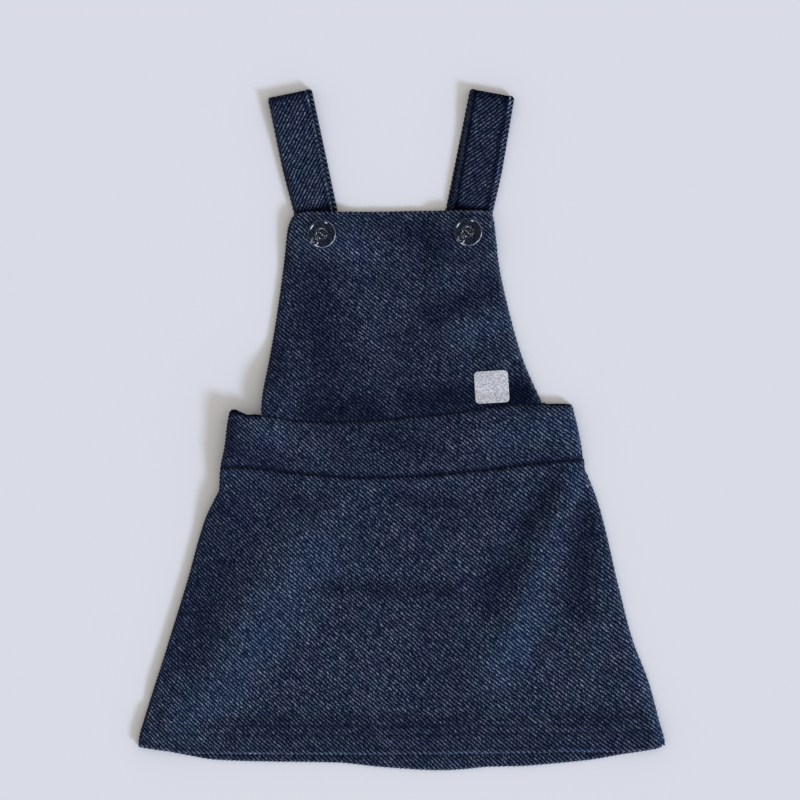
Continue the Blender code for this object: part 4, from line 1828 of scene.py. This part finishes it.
    def support(self, x: Array, y: Array) -> Array:
        """Work out how high the strap holds the bib up.

        Args:
            x: Places across the dress.
            y: Places up the dress.

        Returns:
            The height, faded out beside the strap.
        """
        beside_back = self.from_run(self.back_lean, x, y) - self.support_reach
        beside_front = self.from_run(self.front_lean, x, y) - self.support_reach
        past_end = self.front_end - self.support_past_end - y
        back = LAYERS.strap * (1.0 - ease(beside_back / self.support_fall))
        front = (LAYERS.strap + LAYERS.gap) * (1.0 - ease(beside_front / self.support_fall))
        return back + front * (1.0 - ease(past_end / self.support_fall))

    def build(self, wardrobe: Wardrobe) -> None:
        """Build and dress the ribbon, its topstitching and its edges.

        Args:
            wardrobe: The finishes.
        """
        name, line = f"strap_{self.side.value}", self.width - self.stitch_line
        columns = stations(self.width, self.step, self.roll, self.roll, (self.crease.place, line))
        fold = self.front_run + math.pi * self.radius / 2.0
        rows = stations(self.length, self.step, self.roll, self.roll, np.arange(fold - 5.0, fold + 5.1, 1.7))
        cloth = cloth_shell(f"{name}_cloth", self, columns, rows)
        dress(cloth, wardrobe.twill, Slot.TWILL, name)
        paths = self.stitching.paths(self, (line, 2.0), (line, self.front_run))
        stitches = tubes(f"{name}_stitches", paths, self.stitching.radii())
        # the left strap's stitches take the pale rows as a painted highlight
        dress(stitches, wardrobe.rib if self.side is StrapSide.LEFT else wardrobe.thread, Slot.TWILL)
        ribs = self.ribs.build(name, self, (Edge.LEFT, Edge.RIGHT), wardrobe)
        self.width * MM
        self.length * MM


STRAPS = (
    Strap(StrapSide.LEFT, -71.9, 215.2, 12.0, 11.7, 62.0, 3.5, Line(3.6, 0.6, 0.8),
          (Line(5.3, 1.0, -0.30), Line(1.5, 1.5, -0.55), Line(28.6, 3.0, -0.15)), -0.03),
    Strap(StrapSide.RIGHT, 57.9, 215.6, -9.4, -11.4, 37.0, 4.7, Line(2.3, 0.7, 0.9),
          (Line(4.7, 1.4, -0.4), Line(0.5, 0.8, -0.4), Line(25.0, 0.9, -0.45),
           Line(28.6, 3.0, -0.22)), -0.13, settle=30.0),
)


@dataclass(frozen=True)
class Bib:
    """The bib, which lies over the straps at its top corners and sags between them."""

    width: float = 152.0
    length: float = 130.0
    margin: float = 20.0
    step: float = 1.3
    lay: TwillLay = TwillLay(-39.5, -38.5, 90.0, 2.02)
    ripple: Ripple = Ripple(31, 0.09, 9.0, 30.0)
    ribs: EdgeRibs = EdgeRibs()
    buttonhole: float = 17.0            # length
    cord: float = 0.55                  # radius of a buttonhole's corded edge
    cord_away: float = 0.75             # distance of its middle from the slit's
    cord_sink: float = 0.3              # depth of its middle below the cloth's face
    cord_points: int = 24
    seam_shade: Line = Line(0.0, 3.0, -0.15)             # painted shadow above the waistband
    shade: float = -0.09                # darkening of the whole bib

    def under(self, x: Array, y: Array) -> Array:
        """Work out the height of the bib's underside.

        Args:
            x: Places across the dress.
            y: Places up the dress.

        Returns:
            The height.
        """
        at_seam = 1.0 - ease((y - band_top(x)) / LAYERS.seam_fade)
        waves = fold_rise(BIB_FOLDS, x, y) + self.ripple(x, y)
        support = np.maximum(*[strap.support(x, y) for strap in STRAPS])
        fallen = ease((y - band_top(x)) / LAYERS.bib_fall)
        sag = lerp(LAYERS.bib_rise, LAYERS.bib_sag, fallen) + waves * (1.0 - at_seam)
        return np.maximum(sag, support + LAYERS.gap)

    def height(self, x: Array, y: Array) -> Array:
        """Return the height of the bib's upper face, away from its rounded edges."""
        return self.under(x, y) + LAYERS.bib

    def height_at(self, x: float, y: float) -> float:
        """Return that height at one place."""
        return float(self.height(np.array([x]), np.array([y]))[0])

    def middle(self, x: Array, y: Array) -> Array:
        """Return the height of the middle of the bib's wall."""
        return self.under(x, y) + LAYERS.bib / 2.0 - SEAM_DIP.at(y - band_top(x))

    def lit_and_worn(self, x: Array, y: Array) -> Array:
        """Return the bib's painted light and shade with its wear, with a painted shadow along the seam below
        it.
        """
        light_and_wear = fold_rise(BIB_LIGHT_AND_WEAR, x, y) + painted_side_light(BIB_SIDES, x, y)
        return light_and_wear + self.seam_shade.at(y - band_top(x)) + self.shade

    def panel(self) -> Panel:
        """Plan the bib.

        Returns:
            The bib as a panel.
        """
        plan = Plan(bib_top, band_top.moved(LAYERS.gap / 2.0), BIB_SIDES, self.width,
                    self.length, self.margin)
        return Panel(plan, self.lay, self.middle, even(LAYERS.bib),
                     side_roll=1.9, bottom_roll=2.0, top_roll=1.5, lit_and_worn=self.lit_and_worn)

    def cords(self, x: float, y: float) -> list[Array]:
        """Route the corded edge round a buttonhole.

        Args:
            x: Its middle across the dress.
            y: Its middle up the dress.

        Returns:
            The points of its two sides.
        """
        along = np.linspace(-1.0, 1.0, self.cord_points)
        away = self.cord_away * np.sqrt(np.clip(1.0 - along**8, 0.0, 1.0))
        sides = []
        for side in (-1.0, 1.0):
            spots_x, spots_y = x + along * self.buttonhole / 2.0, y + side * away
            high = self.height(spots_x, spots_y) - self.cord_sink
            sides.append(np.stack([spots_x, spots_y, high], axis=1))
        return sides

    def build(self, wardrobe: Wardrobe) -> None:
        """Build and dress the bib, its buttonholes and its edges.

        Args:
            wardrobe: The finishes.
        """
        panel = self.panel()
        cloth = panel.build("bib", self.step, wardrobe)
        cords = np.concatenate([self.cords(x, y) for x, y in BUTTON_CENTRES.values()])
        buttonholes = tubes("buttonholes", cords, np.full(self.cord_points, self.cord))
        dress(buttonholes, wardrobe.thread, Slot.TWILL)
        ribs = self.ribs.build("bib", panel, (Edge.LEFT, Edge.RIGHT, Edge.TOP), wardrobe)
        outline_area(panel)


class Ring(NamedTuple):
    """One ring of a button's profile, in millimetres."""

    radius: float
    height: float


@dataclass(frozen=True)
class Buttons:
    """The two clear four-hole buttons and the thread that holds them."""

    bib: Bib
    profile: tuple[Ring, ...] = (       # from the back's edge, round the rim, to the face
        Ring(7.7, 0.0), Ring(8.65, 0.7), Ring(8.98, 1.7), Ring(8.97, 2.15), Ring(8.85, 2.45),
        Ring(8.72, 2.6), Ring(8.42, 2.79), Ring(8.22, 2.89), Ring(8.05, 2.93), Ring(7.9, 2.88),
        Ring(7.5, 2.63), Ring(7.1, 2.46), Ring(6.2, 2.2), Ring(4.2, 2.05), Ring(3.9, 1.98),
    )
    sides: int = 72
    hole_radius: float = 0.9
    hole_offset: float = 2.4
    hole_sides: int = 20
    soft_edge: float = 0.35
    soft_angle: float = 45.0            # degrees; blunter edges look smooth
    thread: float = 0.26
    thread_points: int = 9
    thread_rise: float = 0.25           # of the thread's middle over the face
    thread_dive: float = 1.6            # depth of its ends in the holes

    def disc(self) -> Object:
        """Shape one button by extruding and resizing a disc, ring by ring.

        Returns:
            The button, standing on the origin, without its holes.
        """
        deselect()
        first = self.profile[0]
        bpy.ops.mesh.primitive_circle_add(
            vertices=self.sides, radius=first.radius * MM, fill_type="NGON")
        disc = bpy.context.object
        with editing():
            for ring, after in zip(self.profile, self.profile[1:]):
                rise = {"value": (0.0, 0.0, (after.height - ring.height) * MM)}
                bpy.ops.mesh.extrude_region_move(TRANSFORM_OT_translate=rise)
                widen = after.radius / ring.radius
                bpy.ops.transform.resize(value=(widen, widen, 1.0), center_override=(0.0, 0.0, 0.0))
            bpy.ops.mesh.select_all(action="SELECT")
            bpy.ops.mesh.normals_make_consistent(inside=False)
        return disc

    def drill(self, disc: Object) -> None:
        """Cut the four holes through a button and soften its edges.

        Args:
            disc: The button.
        """
        for index in range(4):
            angle = math.tau * index / 4.0
            spot = Vector((math.cos(angle), math.sin(angle), 0.0)) * self.hole_offset * MM
            spot.z = self.profile[-1].height / 2.0 * MM
            deselect()
            bpy.ops.mesh.primitive_cylinder_add(
                vertices=self.hole_sides, radius=self.hole_radius * MM, depth=8.0 * MM, location=spot)
            drill = bpy.context.object
            activate(disc)
            cut = disc.modifiers.new("hole", "BOOLEAN")
            cut.operation = "DIFFERENCE"
            cut.object = drill
            bpy.ops.object.modifier_apply(modifier=cut.name)
            bpy.data.objects.remove(drill, do_unlink=True)
        soften = disc.modifiers.new("soft edges", "BEVEL")
        soften.width = self.soft_edge * MM
        soften.segments = 3
        soften.limit_method = "ANGLE"
        soften.angle_limit = math.radians(50.0)
        bpy.ops.object.modifier_apply(modifier=soften.name)
        bpy.ops.object.shade_smooth_by_angle(angle=math.radians(self.soft_angle))
        write_weave(disc.data, read_points(disc.data)[:, :2] / MM, np.zeros(len(disc.data.vertices)))

    def threads(self, place: Vector) -> Array:
        """Route the sewing thread through the holes.

        Args:
            place: The button's place, in millimetres.

        Returns:
            The points of its stitches, each from one hole to the next.
        """
        face = self.profile[-1].height
        share = np.linspace(0.0, 1.0, self.thread_points)
        dip = np.abs(share - 0.5) * 2.0
        lift = place.z + lerp(face + self.thread_rise, face - self.thread_dive, dip**6)
        angles = np.arange(4) * math.pi / 2.0
        holes = place.xy[:] + self.hole_offset * np.column_stack([np.cos(angles), np.sin(angles)])
        routes = []
        for start, end in ((0, 1), (2, 3), (1, 2), (3, 0)):
            spots = lerp(holes[start], holes[end], share[:, None])
            routes.append(np.column_stack([spots, lift]))
        return np.stack(routes)

    def build(self, wardrobe: Wardrobe) -> None:
        """Build and dress both buttons and their threads.

        Args:
            wardrobe: The finishes.
        """
        pattern = self.disc()
        self.drill(pattern)
        routes = []
        for side, (x, y) in BUTTON_CENTRES.items():
            place = Vector((x, y, self.bib.height_at(x, y) + LAYERS.gap))
            button = pattern.copy()
            button.data = pattern.data.copy()
            button.data.transform(Matrix.Translation(place * MM))
            button.name = button.data.name = f"button_{side}_resin"
            bpy.context.scene.collection.objects.link(button)
            dress(button, wardrobe.resin, Slot.PLASTIC, f"button_{side}")
            routes.append(self.threads(place))
        bpy.data.objects.remove(pattern, do_unlink=True)
        thread = tubes("button_threads", np.concatenate(routes),
                       np.full(self.thread_points, self.thread))
        dress(thread, wardrobe.thread, Slot.TWILL)


@dataclass(frozen=True)
class Label:
    """The small bare label on the bib."""

    bib: Bib
    centre: tuple[float, float] = (57.4, 27.3)
    width: float = 21.8
    length: float = 20.6
    corner: float = 2.6
    wall: float = 0.6
    above: float = 0.1                  # clearance over the bib
    turn: float = 3.4                   # degrees, anticlockwise
    roll: float = 0.35
    step: float = 0.5

    def points(self, across: Array, up: Array, face: Face) -> Array:
        """Find the points of a face, a rounded outline on the bib's own surface.

        Args:
            across: Flat distances from the left edge.
            up: Flat distances from the bottom edge.
            face: Which face.

        Returns:
            The points, in millimetres.
        """
        s, t = across - self.width / 2.0, up - self.length / 2.0
        past_s = np.abs(s) - (self.width / 2.0 - self.corner)
        past_t = np.abs(t) - (self.length / 2.0 - self.corner)
        in_corner = (past_s > 0.0) & (past_t > 0.0)
        reach = np.maximum(past_s, past_t)
        pull = np.where(in_corner, reach / np.maximum(np.hypot(past_s, past_t), 1e-9), 1.0)
        s = np.where(in_corner, np.sign(s) * (self.width / 2.0 - self.corner + past_s * pull), s)
        t = np.where(in_corner, np.sign(t) * (self.length / 2.0 - self.corner + past_t * pull), t)
        angle = math.radians(self.turn)
        x = self.centre[0] + s * math.cos(angle) - t * math.sin(angle)
        y = self.centre[1] + s * math.sin(angle) + t * math.cos(angle)
        half = self.wall / 2.0 * wall_share(self, across, up, self.roll, self.roll, self.roll)
        middle = self.bib.height(x, y) + self.above + self.wall / 2.0
        return np.stack([x, y, middle + face.value * half], axis=1)

    def weave(self, across: Array, up: Array) -> Array:
        """Return the flat coordinates, which the tape's weave follows."""
        return np.stack([across, up], axis=1)

    def light_and_wear(self, across: Array, up: Array) -> Array:
        """Return no painted light and no wear."""
        return np.zeros_like(across)

    def build(self, wardrobe: Wardrobe) -> None:
        """Build and dress the label.

        Args:
            wardrobe: The finishes.
        """
        columns = stations(self.width, self.step, self.roll, self.roll)
        rows = stations(self.length, self.step, self.roll, self.roll)
        tape = cloth_shell("label_tape", self, columns, rows)
        dress(tape, wardrobe.label, Slot.LABEL, "label")
        self.width * MM
        self.length * MM
        outline_area(self)


class Lamp(NamedTuple):
    """A broad distant lamp; its angles are in degrees, the azimuth from +X."""

    name: str
    azimuth: float
    elevation: float
    angle: float
    strength: float
    colour: Colour


@dataclass(frozen=True)
class Studio:
    """The pale floor, the soft light from the lower right and the camera straight above."""

    view_x: float = -1.28               # where the camera looks, in millimetres
    view_y: float = 18.88
    view_width: float = 512.0
    view_height: float = 4.5            # the cloth's height, where the view has that width
    lens: float = 180.0
    sensor: float = 36.0
    floor_size: float = 12.0            # metres
    lamps: tuple[Lamp, ...] = (
        Lamp("key", -42.0, 27.0, 13.0, 1.79, (0.83, 1.0, 1.39)),
        Lamp("side", -38.0, 34.0, 100.0, 0.38, (0.98, 1.0, 1.0)),
    )
    fill_colour: Colour = (0.584, 0.563, 0.555)

    def build_floor(self) -> None:
        """Lay the floor."""
        deselect()
        bpy.ops.mesh.primitive_plane_add(size=self.floor_size, location=(0.0, 0.0, -0.05 * MM))
        floor = bpy.context.object
        floor.name = "floor"
        floor.data.materials.append(FloorFinish().material("pale_floor"))

    def build_lights(self) -> None:
        """Hang the lamps and fill the room."""
        for lamp in self.lamps:
            azimuth, elevation = math.radians(lamp.azimuth), math.radians(lamp.elevation)
            towards = Vector((math.cos(azimuth) * math.cos(elevation),
                              math.sin(azimuth) * math.cos(elevation), math.sin(elevation)))
            light = bpy.data.lights.new(lamp.name, "SUN")
            light.energy = lamp.strength
            light.color = lamp.colour
            light.angle = math.radians(lamp.angle)
            hung = bpy.data.objects.new(lamp.name, light)
            hung.rotation_euler = towards.to_track_quat("Z", "Y").to_euler()
            bpy.context.scene.collection.objects.link(hung)
        world = bpy.data.worlds.new("room")
        world.use_nodes = True
        sky = world.node_tree.nodes["Background"]
        sky.inputs["Color"].default_value = (*self.fill_colour, 1.0)
        bpy.context.scene.world = world
        bpy.context.scene.view_settings.view_transform = "Standard"

    def build_camera(self) -> None:
        """Put the camera straight above the dress."""
        camera = bpy.data.cameras.new("camera")
        camera.lens = self.lens
        camera.sensor_width = self.sensor
        away = self.view_width * self.lens / self.sensor + self.view_height
        camera.clip_end = 20.0
        viewer = bpy.data.objects.new("camera", camera)
        viewer.location = Vector((self.view_x, self.view_y, away)) * MM
        bpy.context.scene.collection.objects.link(viewer)
        bpy.context.scene.camera = viewer

    def build(self) -> None:
        """Build the floor, the lights and the camera."""
        self.build_floor()
        self.build_lights()
        self.build_camera()


def main() -> None:
    """Build the dress piece by piece, and the studio round it."""
    logging.basicConfig(level=logging.INFO, format="%(name)s: %(message)s")
    wardrobe, bib = Wardrobe.made(), Bib()
    Studio().build()
    LOG.info("studio ready")
    parts = {
        "skirt": Skirt(), "waistband": Waistband(), "left strap": STRAPS[0],
        "right strap": STRAPS[1], "bib": bib, "buttons": Buttons(bib), "label": Label(bib),
    }
    for name, part in parts.items():
        part.build(wardrobe)
        LOG.info("%s built and dressed", name)


if __name__ == "__main__":
    main()
